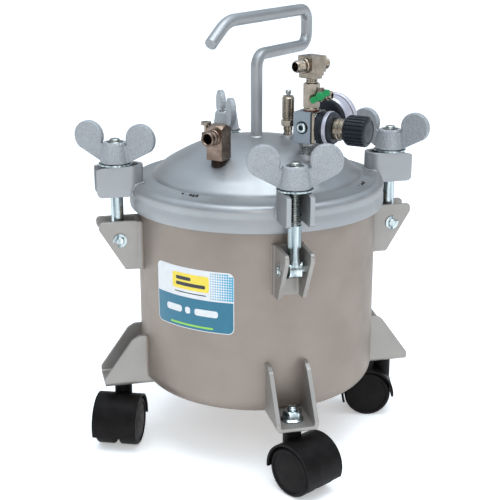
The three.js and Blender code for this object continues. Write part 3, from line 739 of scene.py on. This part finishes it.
def clevis():
    """Two cheeks on a backing bar welded to the tank."""
    outer, top, bottom, toe = clevis_high.x, clevis_high.z, clevis_low.z, 139.0
    whole = block(TANK_RADIUS - 1.4, outer + 5, -CLEVIS_HALF, CLEVIS_HALF, bottom - 1, top + 1)
    web, inset = TANK_RADIUS + 5, CLEVIS_HALF - CLEVIS_THICK
    mouth = [(web, -inset), (outer + 9, -inset), (outer + 9, inset), (web, inset)]
    channel = carved(whole, prism(rounded(mouth, [2.5, 0, 0, 2.5]), bottom - 5, top + 5))
    cheek = rounded([(TANK_RADIUS - 3, bottom), (toe, bottom), (outer, top - 8), (outer, top),
                     (TANK_RADIUS - 3, top)], [0, 3, 3, 4, 0], 8)
    wide = CLEVIS_HALF + 0.6
    bar = block(TANK_RADIUS - 1.4, TANK_RADIUS + 4.6, -wide, wide, bottom - 0.1, top - 0.6)
    weld = Form()
    for side in (-1, 1):
        y = side * (CLEVIS_HALF + 0.9)
        x = math.sqrt(TANK_RADIUS ** 2 - y ** 2) + 0.2
        weld += bead([(x, y, bottom + 1.2 * k) for k in range(int((top - bottom) / 1.2))], 1.0, 5.0 + side)
    return common(channel, side_prism(cheek, -20, 20)), bar, weld


def e_clip():
    """Retaining clip with its mouth up and to one side."""
    ring_line = arc(0, 0, 7, 75, 375, 30) + arc(0, 0, 4.3, 375, 345, 4) + arc(0, 0, 3.7, 335, 240, 12)
    ring_line += arc(0, 0, 4.6, 232, 218, 3) + arc(0, 0, 3.7, 210, 115, 12) + arc(0, 0, 4.3, 105, 75, 4)
    return prism(ring_line, 0, 1.1)


def pivot_pin():
    reach = CLEVIS_HALF + 2.8
    shank = rod(4, -reach, reach, 0.7)
    centre_mark = ring(0.9, 1.8, reach - 0.2, reach + 0.05, 24)
    clips = e_clip().at(move(z=CLEVIS_HALF + 0.3)) + e_clip().at(turn(180, "X") @ move(z=CLEVIS_HALF + 0.3))
    return (shank + centre_mark + clips).at(ALONG_Y)


def swing_bolt():
    """Eye with hollowed sides, plain shank and threaded end; the eye is at the origin."""
    length = bolt_high.z - PIVOT_Z
    thread_start = ear_low.z - PIVOT_Z - 1.5
    eye_radius, waist, swell = 8.4, 5.6, 1.7
    rim = arc(0, 0, eye_radius, 0, 350, 35)
    count = len(rim)
    points = [(x, side * (waist + swell * (z / eye_radius) ** 2), z) for side in (-1, 1) for x, z in rim]
    strips = []
    for start in (0, count):
        for k in range(count // 2 - 1):
            near, far = start + k, start + count - k - 1
            strips.append((near, near + 1, far - 1, far))
    eye = Form(points, skin(1, count) + strips)
    root, end = BOLT_RADIUS - 0.8, thread_start + 0.8
    shank = [(0, 3), (7.6, 3), (7.4, 7.5), (BOLT_RADIUS, 11), (BOLT_RADIUS, thread_start)]
    neck = lathe([*shank, (root, end), (0, end)], 48)
    core = BOLT_RADIUS - 1
    nose = [(0, length - 2.4), (core, length - 2.4), (core, length - 1.2), (core - 1.2, length)]
    tip = lathe([*nose, (0, length)], 48)
    return eye + neck, threaded(BOLT_RADIUS, 0, 2.3, thread_start, length - 1.6) + tip


def wing_nut():
    """Cast wing nut standing on z = 0: a tapered hub and two flat round blades along X."""
    height, base, top, lobe, reach = 21.0, 15.3, 11.9, 15.5, 28.5
    foot = [(0, 0.4), (base - 0.6, 0.4), (base, 1.2), (base - 0.5, 2.4)]
    hub = lathe([*foot, (top + 0.2, height - 1.5), (top - 0.8, height), (0, height)], 64)
    lobe_z = height + 4

    def blade(size, half):
        outline = [(0, 0.8), (base - 0.5, 0.8), *arc(reach, lobe_z, size, -48, 205, 36)]
        return side_prism([*outline, (top - 2, height - 4), (0, height - 4)], -half, half)

    right = fused(blade(lobe, 2.6), blade(lobe - 0.8, 3.3))
    nut = cast(fused(hub, right, right.at(turn(180))), 0.5, 3)
    recess = rod(8.4, height - 4.5, height + 5, 0.2)
    return carved(nut, rod(BOLT_RADIUS + 0.3, -3, height + 9, 0.2), recess)


def washer():
    low, high = washer_low.z, washer_high.z
    profile = rounded([(BOLT_RADIUS + 0.3, low), (17, low), (17, high), (BOLT_RADIUS + 0.3, high)], 0.35, 3)
    return hoop(profile, 72)


def clamps():
    ear, weld, (cheeks, bar, seam), (shank, thread) = lid_ear(), ear_weld(), clevis(), swing_bolt()
    nut, plain_washer, pin = wing_nut(), washer(), pivot_pin()
    at_pivot = move(CLAMP_RADIUS, 0, PIVOT_Z)
    for name, (azimuth, nut_turn, _) in STATIONS.items():
        here = turn(azimuth)
        stand_for(f"lid_ear_{name}", ear, LID_SKY_TINTED_PAINT, here, edge=0.6)
        piece(f"ear_weld_{name}", weld, LID_SKY_TINTED_PAINT, here)
        stand_for(f"clevis_{name}", cheeks, BRACKET_LIT_PAINT, here, edge=0.6)
        piece(f"clevis_bar_{name}", bar, BRACKET_LIT_PAINT, here, "root", edge=0.5)
        piece(f"clevis_weld_{name}", seam, TANK_PAINT, here, "root")
        stand_for(f"pivot_pin_{name}", pin, ZINC, here @ at_pivot, edge=0.15)
        stand_for(f"swing_bolt_{name}", shank, ZINC, here @ at_pivot, edge=0.3)
        piece(f"bolt_thread_{name}", thread, STEEL, here @ at_pivot, f"bolt_{name}", sharp=60)
        stand_for(f"clamp_washer_{name}", plain_washer, ZINC, here @ move(CLAMP_RADIUS))
        nut_place = here @ move(CLAMP_RADIUS, 0, nut_low.z - 0.4) @ turn(nut_turn - azimuth)
        stand_for(f"wing_nut_{name}", nut, CAST_METAL, nut_place, sharp=70)


# ---------------- feet
def foot_bracket():
    """Bent channel: a floor plate with a gusset on each side, cut to the tank."""
    low, high, half = foot_low.z, foot_high.z, FOOT_HALF
    section = rounded([(-half, high + 6), (-half, low), (half, low), (half, high + 6)], [0, 5.5, 5.5, 0], 8)
    inset, inside = half - FOOT_PLATE, low + FOOT_PLATE
    hollow = [(inset, high + 6), (inset, inside), (-inset, inside), (-inset, high + 6)]
    section += rounded(hollow, [0, 2, 2, 0], 6)
    channel = prism([(-z, y) for y, z in section], TANK_RADIUS - 14, FOOT_OUTER + 1).at(ALONG_X)
    back = TANK_RADIUS - 16
    slope = [(FOOT_OUTER, low + 9), (TANK_RADIUS + 13, high - 4), (TANK_RADIUS + 6, high)]
    outline = rounded([(back, low), (FOOT_OUTER, low), *slope, (back, high)], [0, 1.5, 3, 7, 5, 0], 6)
    room = lathe([*tank_profile(-1.3), (0, FLARE_Z)], 192)
    hole = rod(5.4, low - 3, low + 9, 0.1).at(move(CLAMP_RADIUS))
    return carved(common(channel, side_prism(outline, -half - 2, half + 2)), room, hole)


def bracket_weld():
    """Beads between the gussets and the tank."""
    form = Form()
    for side in (-1, 1):
        y = side * (FOOT_HALF + 0.3)
        line = []
        for k in range(36):
            z = foot_high.z - 0.5 - 1.3 * k
            drop = max(0.0, BASE_Z + TANK_CORNER - z)
            reach = TANK_RADIUS - TANK_CORNER + math.sqrt(max(TANK_CORNER ** 2 - drop ** 2, 0))
            if z > foot_low.z + 2:
                line.append((math.sqrt(reach ** 2 - y ** 2) + 0.1, y, z))
        form += bead(line, 1.1, 8.0 + side)
    return form


def caster_stem():
    """Flange nut on the threaded stem."""
    top, bottom = foot_low.z + FOOT_PLATE, 48.8
    rim = [(5, top + 0.3), (11, top + 0.3), (11, top + 1.3), (8.6, top + 3), (5, top + 3)]
    nut = carved(hex_nut(16.6, top + 2.4, top + 10.2, False), rod(4.6, top, top + 15, 0.1))
    stem = rod(5, bottom, top + 5, 0.3)
    stud = threaded(5, 0, 1.5, top + 8, top + 13.4) + rod(4.2, top + 12, top + 14, 0.8)
    return hoop(rim, 64) + nut + stem + stud


def caster_hood():
    """Hood over the wheels; the stem axis is x = 0 and the wheels trail along +X."""
    inner, outer = WHEEL_RADIUS + 1.2, WHEEL_RADIUS + 3.5
    axle = WHEEL_TRAIL, WHEEL_RADIUS
    crescent = arc(*axle, outer, -20, 185, 56) + arc(*axle, inner, 185, -20, 56)
    shell = side_prism(crescent, -CASTER_HALF, CASTER_HALF)
    cheek = arc(*axle, inner + 1, -15, 180, 40) + arc(*axle, 7, 180, 345, 16)
    collar = [(9, 60.5), (8.2, 61.2), (8.2, 62.4), (9, 63), (9, 63.7), (0, 63.7)]
    neck = lathe([(0, WHEEL_RADIUS + 14), (9, WHEEL_RADIUS + 14), *collar], 64)
    room = side_prism(arc(*axle, inner, 0, 355, 71), -CASTER_HALF - 1, CASTER_HALF + 1)
    middle_web = side_prism(cheek, -2.5, 2.5)
    socket = rod(5.5, 48.4, 70, 0.1)
    axle_hole = rod(3.6, -10, 10, 0.1).at(move(WHEEL_TRAIL, 0, WHEEL_RADIUS) @ ALONG_Y)
    return carved(fused(shell, carved(neck, room), middle_web), socket, axle_hole)


def caster_wheels():
    """Twin wheels with shouldered treads and lipped discs on an axle along Y."""
    outer = CASTER_HALF - 1
    side = [(20.3, outer - 1), (18.6, outer - 1.1), (17.8, outer - 0.7), (9, outer - 0.2), (0, outer)]
    corners = [(0, 3.3), (WHEEL_RADIUS, 3.3), (WHEEL_RADIUS, outer), (20.9, outer)]
    wheel = lathe([*rounded(corners, [0, 1.5, 3.5, 0], 6, closed=False), *side], 96)
    return (wheel + wheel.at(turn(180, "X")) + rod(3, -outer + 4, outer - 4, 0.2)).at(ALONG_Y)


def feet():
    bracket, weld, stem = foot_bracket(), bracket_weld(), caster_stem()
    hood, wheels = caster_hood(), caster_wheels()
    for name, (azimuth, _, trail) in STATIONS.items():
        here = turn(azimuth)
        stand_for(f"foot_bracket_{name}", bracket, BRACKET_LIT_PAINT, here, edge=0.6)
        piece(f"bracket_weld_{name}", weld, TANK_PAINT, here, "root")
        spot = here @ move(CLAMP_RADIUS)
        stand_for(f"caster_stem_{name}", stem, ZINC, spot, edge=0.2)
        caster = spot @ turn(trail - azimuth)
        stand_for(f"caster_hood_{name}", hood, TYRE, caster, edge=0.7)
        axle = caster @ move(WHEEL_TRAIL, 0, WHEEL_RADIUS)
        stand_for(f"caster_wheels_{name}", wheels, TYRE, axle, edge=0.4)


# ---------------- outlet
def outlet_nozzle(face, mouth):
    """Stepped nozzle about Z from the block's face out to its open mouth."""
    collar = [(4.6, face - 1), (7.6, face - 1), (7.6, face + 2.2), (6.9, face + 3), (5.9, face + 3)]
    rib = [(5.9, face + 4.2), (6.9, face + 4.8), (6.9, face + 6.4), (6.1, face + 7), (6.1, mouth - 4)]
    lip = [(6.9, mouth - 3.4), (6.9, mouth - 0.6), (6.3, mouth), (5.5, mouth), (4.6, mouth - 1.2)]
    return hoop([*collar, *rib, *lip], 64)


def outlet():
    """Square block with a turned crown, a nozzle outward, a boss with a bleed screw and the tube."""
    radius, half, base, top, nozzle_z = 73.5, 8.5, 306.4, 340.0, 329.0
    here = turn(OUTLET_TURN)
    corner = half * math.sqrt(2)
    crown = lathe([(0, base), (corner + 0.5, base), (corner + 0.5, top - 4), (corner - 4, top), (0, top)], 96)
    cube = common(block(-half, half, -half, half, base, top), crown).at(move(radius))
    seat, lug_y = nozzle_z + 2, -half - 5.5
    boss = rod(4.6, nozzle_z - 8, seat, 0.6).at(move(radius, lug_y))
    arm = block(radius - 3, radius + 3, lug_y, 1 - half, nozzle_z - 6, nozzle_z)
    axis = move(radius, 0, nozzle_z) @ ALONG_X
    body = carved(fused(cube, boss, arm), rod(4.6, half - 4, half + 20, 0.1).at(axis))
    # Block and nozzle in the darker nickel, a painted reflection.
    stand_for("outlet_block", body, OUTLET_SHADED_NICKEL, here, edge=0.5)
    piece("outlet_nozzle", outlet_nozzle(half, 21.3).at(axis), OUTLET_SHADED_NICKEL, here, edge=0.15)
    # Black disc at the bottom of the nozzle's bore: painted shade.
    piece("outlet_bore_shade", rod(4.5, half - 3.8, half - 3, 0.1).at(axis), BLACK, here)
    foot_z = lid_height(radius)
    # The nipple is drawn wider than its thread to cover the shadow under the block; part of its dark brown is
    # that painted shadow.
    nipple_and_shadow = threaded(7.8, 0, 1.6, foot_z - 3, base)
    piece("outlet_nipple", nipple_and_shadow, BROWN, here @ move(radius), sharp=60)
    disc_z = 338.4
    head = prism(polygon(24, 10.2), disc_z, disc_z + 3)
    slot = block(-8, 8, -0.6, 0.6, disc_z + 2.2, disc_z + 4)
    screw = rod(2, seat + 0.3, disc_z + 1, 0.2) + carved(head, slot)
    stand_for("bleed_screw", screw, NICKEL, here @ move(radius, lug_y), edge=0.25)
    low, high = span("fluid_tube")
    stand_for("fluid_tube", ring(4.2, 6, low.z, high.z), ZINC, here @ move(radius), edge=0.3)


# ---------------- safety valve
def boss(inner, foot, top, low, high, corner):
    """Ring welded on the dome round a fitting, its top edge softened."""
    return hoop(rounded([(inner, low), (foot, low), (top, high), (inner, high)], [0, 0, corner, 0], 4), 48)


def safety_valve():
    low, high = span("safety_valve")
    spot = move(middle("safety_valve").x, middle("safety_valve").y)
    hex_z, body_z, top = 326.0, 332.5, high.z
    groove = [(4.8, 319), (4.2, 319.6), (4.2, 321), (4.8, 321.6)]
    neck = lathe([(0, 303), (4.8, 303), *groove, (4.8, hex_z + 1), (0, hex_z + 1)], 48)
    side = [(5.7, body_z - 1), (5.7, body_z + 1.2), (6.3, body_z + 1.8), (6.3, top - 2.2), (5.4, top - 1)]
    well = [(5.4, top), (2.4, top), (2.4, top - 11.8), (0, top - 11.8)]
    barrel = lathe([(0, body_z - 1), *side, *well], 64)
    stand_for("safety_valve", neck + hex_nut(12.8, hex_z, body_z) + barrel, NICKEL, spot, edge=0.15)
    weld_z = lid_height(math.hypot(30.8, 2.6))
    foot = boss(4, 8.4, 6.6, weld_z - 2, weld_z + 3, 1.2)
    piece("safety_boss", foot, LID_SKY_TINTED_PAINT, spot)
    button = [(2.6, top + 2), (3, top + 2.5), (3, top + 4.8), (2.3, top + 5.6), (0, top + 5.6)]
    stem = rod(2, top - 11.4, top + 3, 0.2) + lathe([(0, top + 2), *button], 32)
    stand_for("safety_pull", stem, STEEL, spot, edge=0.1)


# ---------------- regulator
def regulator_body(here):
    """Cast block with rounded upper and lower edges."""
    low, high, half = REGULATOR.z - REGULATOR_HALF, REGULATOR.z + REGULATOR_HALF, 9.5
    cube = block(-half, half, -11, 11, low, high)
    crown = rounded([(-half, low), (half, low), (half, high), (-half, high)], [1.5, 0.5, 0.5, 2.5], 5)
    stand_for("regulator_body", common(cube, side_prism(crown, -11, 11)), REGULATOR_CAST, here, edge=0.8)


def regulator_flange(along):
    """Plate at the front of the block, with a dark joint behind it."""
    half, high = 12.5, REGULATOR_HALF
    outline = rounded([(-half, -high), (half, -high), (half, high), (-half, high)], 2.4, 5)
    plate = prism([(-v, u) for u, v in outline], 10.9, 14.3)
    piece("regulator_flange", plate, NICKEL, along, edge=0.6)
    joint = prism([(-0.97 * v, 0.94 * u) for u, v in outline], 9.2, 11.3)
    piece("regulator_joint", joint, BLACK, along, edge=0.2)


def regulator_plug(facing):
    """Hexagon socket plug in the side of the block."""
    plug = lathe([(0, 10.5), (5, 10.5), (5, 13), (4.5, 13.4), (0, 13.4)], 48)
    socket = prism(polygon(6, 4.8), 11.2, 15)
    piece("regulator_plug", carved(plug, socket), ZINC, facing, edge=0.2)
    # Black hexagon at the bottom of the hex socket: painted shade.
    piece("regulator_socket_shade", prism(polygon(6, 4.7), 11, 11.5), BLACK, facing)
    piece("regulator_plug_seat", ring(5.1, 6.3, 10.8, 11.2), BLACK, facing, edge=0.1)


def regulator_screws(here):
    """Socket screws at the corners of the flange plate."""
    screws = Form()
    for y in (-9.6, 9.6):
        for height in (-12.4, 12.4):
            head = carved(rod(2.3, 14, 15.6, 0.3, 24), prism(polygon(6, 2.2), 14.8, 17))
            screws += head.at(move(0, y, REGULATOR.z + height) @ ALONG_X)
    piece("regulator_screws", screws, ZINC, here, edge=0.1)


def regulator_foot(here):
    """Nipple under the block and the boss it is screwed into."""
    z, foot_z = REGULATOR.z, lid_height(math.hypot(REGULATOR.x, REGULATOR.y))
    nipple = threaded(7, 0, 1.8, foot_z - 4, z - 18) + prism(polygon(6, 13.4), z - 19, z - 15.3)
    piece("regulator_nipple", nipple, STEEL, here, edge=0.2)
    foot = boss(6, 9.4, 8.2, foot_z - 3, foot_z + 2.2, 1)
    piece("regulator_boss", foot, LID_SKY_TINTED_PAINT, here)


def regulator_knob():
    """Ribbed grip with a domed end and a raised rim round its end face."""
    start, end, ribs = 42.7, 65.3, 24
    outline = []
    for k in range(ribs):
        for share, reach in ((0.0, 13.6), (0.24, 13.6), (0.38, 14.7), (0.84, 14.7)):
            outline.append(polar(reach, TAU * (k + share) / ribs))
    near = [(0, start), (12, start), (13.6, start + 1.6), (14.8, start + 3.2)]
    far = [(14.8, end - 3), (14.3, end - 1.4), (13, end - 0.3), (11.4, end)]
    face = [(10.8, end - 0.8), (0, end - 0.8)]
    return common(prism(outline, start - 1, end + 1), lathe([*near, *far, *face], 96))


def regulator(here):
    centre = here @ move(z=REGULATOR.z)
    along = centre @ ALONG_X
    regulator_body(here)
    regulator_flange(along)
    regulator_plug(centre @ turn(90, "X"))
    regulator_screws(here)
    regulator_foot(here)
    front = [(0, 14.6), (15.2, 14.6), (16.2, 15.8), (16.2, 18), (15.5, 18.5), (15.5, 19.2), (16.2, 19.7)]
    groove = [(16.2, 22.4), (13, 22.4), (13, 26.9), (15.8, 26.9), (15.8, 28.6), (14.2, 31), (0, 31)]
    stand_for("regulator_bonnet", lathe([*front, *groove], 96), BLACK, along, edge=0.25)
    clamp_ring = rounded([(13.3, 22.7), (16.5, 22.7), (16.5, 26.6), (13.3, 26.6)], 0.7, 4)
    stand_for("bonnet_ring", hoop(clamp_ring), CASE, along)
    neck = [(0, 31.3), (10.5, 31.3), (10.5, 35), (9.6, 35.6), (9.6, 36.6), (10.2, 37), (10.2, 38.6)]
    neck += [(9.5, 39), (9.5, 42.4), (0, 42.4)]
    stand_for("regulator_neck", lathe(neck, 72), NICKEL, along, edge=0.2)
    stand_for("regulator_knob", regulator_knob(), BLACK, along, edge=0.25)
    face = lathe([(0, 64.3), (10.4, 64.3), (10.4, 64.9), (9.9, 65.2), (0, 65.2)], 64)
    piece("knob_disc", face, BLACK, along, "knob", edge=0.1)


# ---------------- gauge
def dial_marks(level):
    """Graduations round three quarters of the dial."""
    form = Form()
    for k in range(51):
        long = k % 5 == 0
        inner, width = (15.4, 0.34) if long else (17.3, 0.16)
        mark = block(inner, 19.6, -width, width, level, level + 0.12)
        form += mark.at(turn(-DIAL_START - DIAL_SWEEP * k / 50))
    return form


def dial_numbers(level, place):
    """Even numbers from 0 to 10 inside the graduations."""
    form = Form()
    for k in range(6):
        text = bpy.data.curves.new("scratch", "FONT")
        text.body = str(2 * k)
        text.size = 4.6
        text.align_x, text.align_y = "CENTER", "CENTER"
        text.extrude = 0.06
        angle, reach = math.radians(DIAL_START + DIAL_SWEEP * k / 5), 12.4
        spot = move(reach * math.sin(angle), reach * math.cos(angle), level + 0.08)
        form += settled(linked("scratch", text)).at(spot)
    piece("gauge_numbers", form, BLACK, place)


def gauge(here):
    """Pressure gauge whose back faces the regulator."""
    back, front, case, bezel, dial_z = 40.0, 64.0, 23.6, 25.2, 59.5
    along = here @ move(z=REGULATOR.z - 1) @ ALONG_Y
    side = [(19.2, back + 3), (21.6, back + 3), (case, back + 5), (case, front - 7.4)]
    neck = [(case - 1, front - 6.8), (case - 1, front - 5.6)]
    rim = [*neck, (bezel - 0.7, front - 5), (bezel, front - 4.2), (bezel, front - 0.9), (bezel - 0.9, front)]
    mouth = [(22.4, front), (21.8, front - 0.7), (21.8, dial_z - 2), (19.2, dial_z - 2)]
    stand_for("pressure_gauge", hoop([*side, *rim, *mouth], 128), CASE, along)
    rear = [(0, back), (17, back), (20, back + 0.8), (21.8, back + 2.6), (21.8, back + 4)]
    rear += [(19, back + 4), (19, back + 6), (0, back + 6)]
    piece("gauge_back", lathe(rear, 96), BLACK, along, edge=0.2)
    joint = ring(case - 1.4, case - 0.1, front - 7, front - 5.4, 128)
    piece("gauge_joint", joint, RUBBER, along, edge=0.1)
    stem = disc(5, 11.3, 30.2, 48) + hex_nut(14, back - 10, back + 0.4)
    piece("gauge_stem", stem, NICKEL, along, edge=0.15)
    facing = along @ turn(180)
    piece("gauge_face", disc(21.7, dial_z - 1, dial_z - 0.1, 128), DIAL, along)
    ink_z, level = dial_z - 0.12, dial_z + 1
    piece("gauge_marks", dial_marks(ink_z), BLACK, facing)
    dial_numbers(ink_z, facing)
    pointer = rounded([(-1.3, -7), (1.3, -7), (0.35, 18.5), (-0.35, 18.5)], [0.5, 0.5, 0.1, 0.1], 3)
    cap = [(2.6, level + 0.9), (1.9, level + 1.5), (0, level + 1.5)]
    hub = lathe([(0, level - 0.4), (2.6, level - 0.4), *cap], 32)
    needle = prism(pointer, level, level + 0.7) + hub
    stand_for("gauge_needle", needle, BLACK, along @ turn(DIAL_START), edge=0.1)
    piece("gauge_glass", disc(21.75, front - 1.6, front - 0.6, 128), LENS, along)


# ---------------- riser, ball valve and tee
def riser(here):
    """Hexagonal coupling on a round foot, with a slotted neck up to the tee."""
    base, top = span("riser")[0].z, 377.7
    spot = here @ move(RISER_OFFSET)
    foot = [(0, base), (7, base), (7.4, base + 0.5), (7.4, base + 2.4), (6.8, base + 3), (0, base + 3)]
    coupling = hex_nut(14, base + 2.6, top)
    core = disc(4.4, top - 1, 381.7, 48)
    neck = ring(4.3, 5.5, top - 0.2, top + 0.9, 48) + ring(4.3, 5.5, top + 3.1, 381.7, 48)
    lands = Form()
    for k in range(8):
        lands += block(4.2, 5.4, -1.15, 1.15, top + 0.8, top + 3.2).at(turn(45 * k))
    stand_for("riser", lathe(foot, 64) + coupling + core + neck + lands, NICKEL, spot, edge=0.2)
    seal = [(4.8, base - 0.3), (7.5, base - 0.3), (7.9, base + 0.3), (7.2, base + 0.9), (4.8, base + 0.9)]
    piece("thread_sealant", hoop(seal, 48), SEALANT, spot)


def ball_valve(here):
    """Small valve beside the riser with a butterfly lever."""
    spot, lever_x = here @ move(RISER_OFFSET, 0, VALVE_Z), 14.4
    neck = rod(4, 7.3, 9.6, 0.1)
    barrel = [(0, 11.6), (5, 11.6), (5.4, 12.2), (5.4, 17.8), (4.9, 18.4), (3.9, 18.6), (3.9, 19.4)]
    tip = [(4.2, 19.8), (4.2, 21.4), (3.7, 22), (2.6, 22), (2.6, 15), (0, 15)]
    gland = lathe([(0, 3), (3.4, 3), (3.4, 7.6), (2.9, 8.2), (0, 8.2)], 32).at(move(lever_x) @ turn(90, "X"))
    line = (neck + hex_nut(13, 8.6, 12.2) + lathe([*barrel, *tip], 64)).at(ALONG_X)
    stand_for("ball_valve", line + gland, NICKEL, spot, edge=0.15)
    right = [*arc(7.8, 0, 3.2, -90, 90, 12), (3, 2.3)]
    left = [(-3, 2.3), *arc(-7.8, 0, 3.2, 90, 270, 12), (-3, -2.3), (3, -2.3)]
    plate = side_prism([*right, *left], -12.6, -9.4)
    boss = lathe([(0, 8.5), (4, 8.5), (4, 12.8), (3.4, 13.4), (0, 13.4)], 32).at(turn(90, "X"))
    lever = cast(fused(plate, boss), 0.3, 3)
    stand_for("valve_lever", lever, GREEN, spot @ move(lever_x) @ turn(-30, "Y"), sharp=60)


def tee(here):
    """Machined tee: a square body with a stepped foot and a threaded end each way."""
    centre = (here @ move(RISER_OFFSET)).to_translation()
    place = move(centre.x, centre.y) @ turn(TEE_TURN)
    base, top, run_z = 382.0, 403.5, 394.5
    axis = move(z=run_z) @ ALONG_X
    steps = [(-8, base), (4.2, base), (4.2, 384.6), (6.5, 384.6), (6.5, 388), (9.5, 388)]
    corners = [*steps, (9.5, top), (-9.5, top), (-9.5, 388), (-8, 388)]
    profile = rounded(corners, [0.8, 0.6, 0.3, 0.6, 0.3, 0.6, 0.8, 0.8, 0.6, 0.3], 4)
    bores = rod(4, -27, -13, 0.1).at(axis), rod(4, 12, 24, 0.1).at(axis)
    body = carved(side_prism(profile, -9.8, 9.8), *bores)
    stand_for("inlet_tee", body, NICKEL, place, edge=0.6)
    ends, threads = Form(), Form()
    for side, reach, outer, lip in ((-90, 23.0, 5.9, 7.4), (90, 20.0, 6.2, 7.0)):
        shoulder = [(4, 8.8), (lip, 8.8), (lip, 11.4), (lip - 0.7, 12.2), (outer - 1, 12.2)]
        mouth = [(outer - 1, reach - 0.6), (outer - 1.4, reach), (4.4, reach), (4, reach - 0.8), (4, 8.8)]
        along = move(z=run_z) @ turn(side, "Y")
        ends += lathe([*shoulder, *mouth], 64).at(along)
        threads += threaded(outer, outer - 1.2, 1.7, 12.6, reach - 0.4).at(along)
    piece("tee_ends", ends, NICKEL, place, edge=0.15)
    piece("tee_threads", threads, NICKEL, place, sharp=60)


def fittings():
    here = move(REGULATOR.x, REGULATOR.y) @ turn(REGULATOR_TURN)
    regulator(here)
    gauge(here)
    riser(here)
    ball_valve(here)
    tee(here)


# ---------------- stage
def area_light(name, place, aim, size, energy, tone):
    data = bpy.data.lights.new(name, "AREA")
    data.shape = "RECTANGLE"
    data.size, data.size_y = size
    data.energy = energy
    data.color = tone
    obj = linked(name, data)
    obj.location = place
    obj.rotation_euler = (Vector(aim) - Vector(place)).to_track_quat("-Z", "Y").to_euler()


def pale_floor():
    """Wide white floor that gives off a little light."""
    mesh, half = bpy.data.meshes.new("floor"), 60
    corners = [(-half, -half, 0), (half, -half, 0), (half, half, 0), (-half, half, 0)]
    mesh.from_pydata(corners, [], [(0, 1, 2, 3)])
    pale = Surface("floor", Metallic=0.0, Emission_Color=(1, 1, 1, 1), Emission_Strength=0.34)
    pale.colour((400, 2), (0.93, 0.93, 0.93), (0.95, 0.95, 0.95))
    pale.rough((60, 2), 0.8, 0.9)
    mesh.materials.append(pale.material)
    linked("floor", mesh)


def surroundings():
    """White up to just over the horizon, then a dark warm band, then a bright cool sky."""
    world = bpy.data.worlds.new("studio")
    world.use_nodes = True
    bpy.context.scene.world = world
    tree = world.node_tree
    ramp = tree.nodes.new("ShaderNodeValToRGB")
    bands = {0.0: (1, 1, 1), 0.55: (1, 1, 1), 0.6: (0.1, 0.09, 0.082), 0.82: (0.86, 1.0, 1.14)}
    ramp.color_ramp.elements.remove(ramp.color_ramp.elements[0])
    for position, tone in bands.items():
        ramp.color_ramp.elements.new(position).color = (*tone, 1)
    ramp.color_ramp.elements.remove(ramp.color_ramp.elements[-1])
    split = tree.nodes.new("ShaderNodeSeparateXYZ")
    half = tree.nodes.new("ShaderNodeMapRange")
    half.inputs["From Min"].default_value = -1
    tree.links.new(tree.nodes.new("ShaderNodeTexCoord").outputs["Generated"], split.inputs[0])
    tree.links.new(split.outputs["Z"], half.inputs["Value"])
    tree.links.new(half.outputs[0], ramp.inputs[0])
    tree.links.new(ramp.outputs[0], tree.nodes["Background"].inputs["Color"])
    tree.nodes["Background"].inputs["Strength"].default_value = 1.0


def studio():
    pale_floor()
    surroundings()
    area_light("front_box", (-0.4, -2.1, 1.2), (0, 0, 0.2), (0.6, 1.5), 9, (1.0, 0.97, 0.92))
    area_light("top_box", (0.1, -0.3, 2.2), (0, 0, 0.2), (1.8, 1.6), 36, (0.9, 0.96, 1.0))


def camera():
    """Long lens, slightly above the lid and left of the front clamp."""
    azimuth, elevation, distance = math.radians(-13.62), math.radians(17.06), 1.1738
    aim = Vector((-0.0064, 0.00155, 0.195))
    flat = math.cos(elevation)
    back = Vector((math.sin(azimuth) * flat, -math.cos(azimuth) * flat, math.sin(elevation)))
    data = bpy.data.cameras.new("camera")
    data.lens = 80.7
    obj = linked("camera", data)
    obj.location = aim + back * distance
    obj.rotation_euler = (-back).to_track_quat("-Z", "Y").to_euler()
    bpy.context.scene.camera = obj


# ---------------- making
camera()
studio()
tank()
lid()
handle()
label()
clamps()
feet()
outlet()
safety_valve()
fittings()
# Small dark brown grains on the lid, in two scattered patches.
specks("dark_grains_left", -138, 5, 111, 16, 1)
specks("dark_grains_right", -37, 4, 113, 9, 2)
bpy.context.scene.view_settings.view_transform = "Standard"
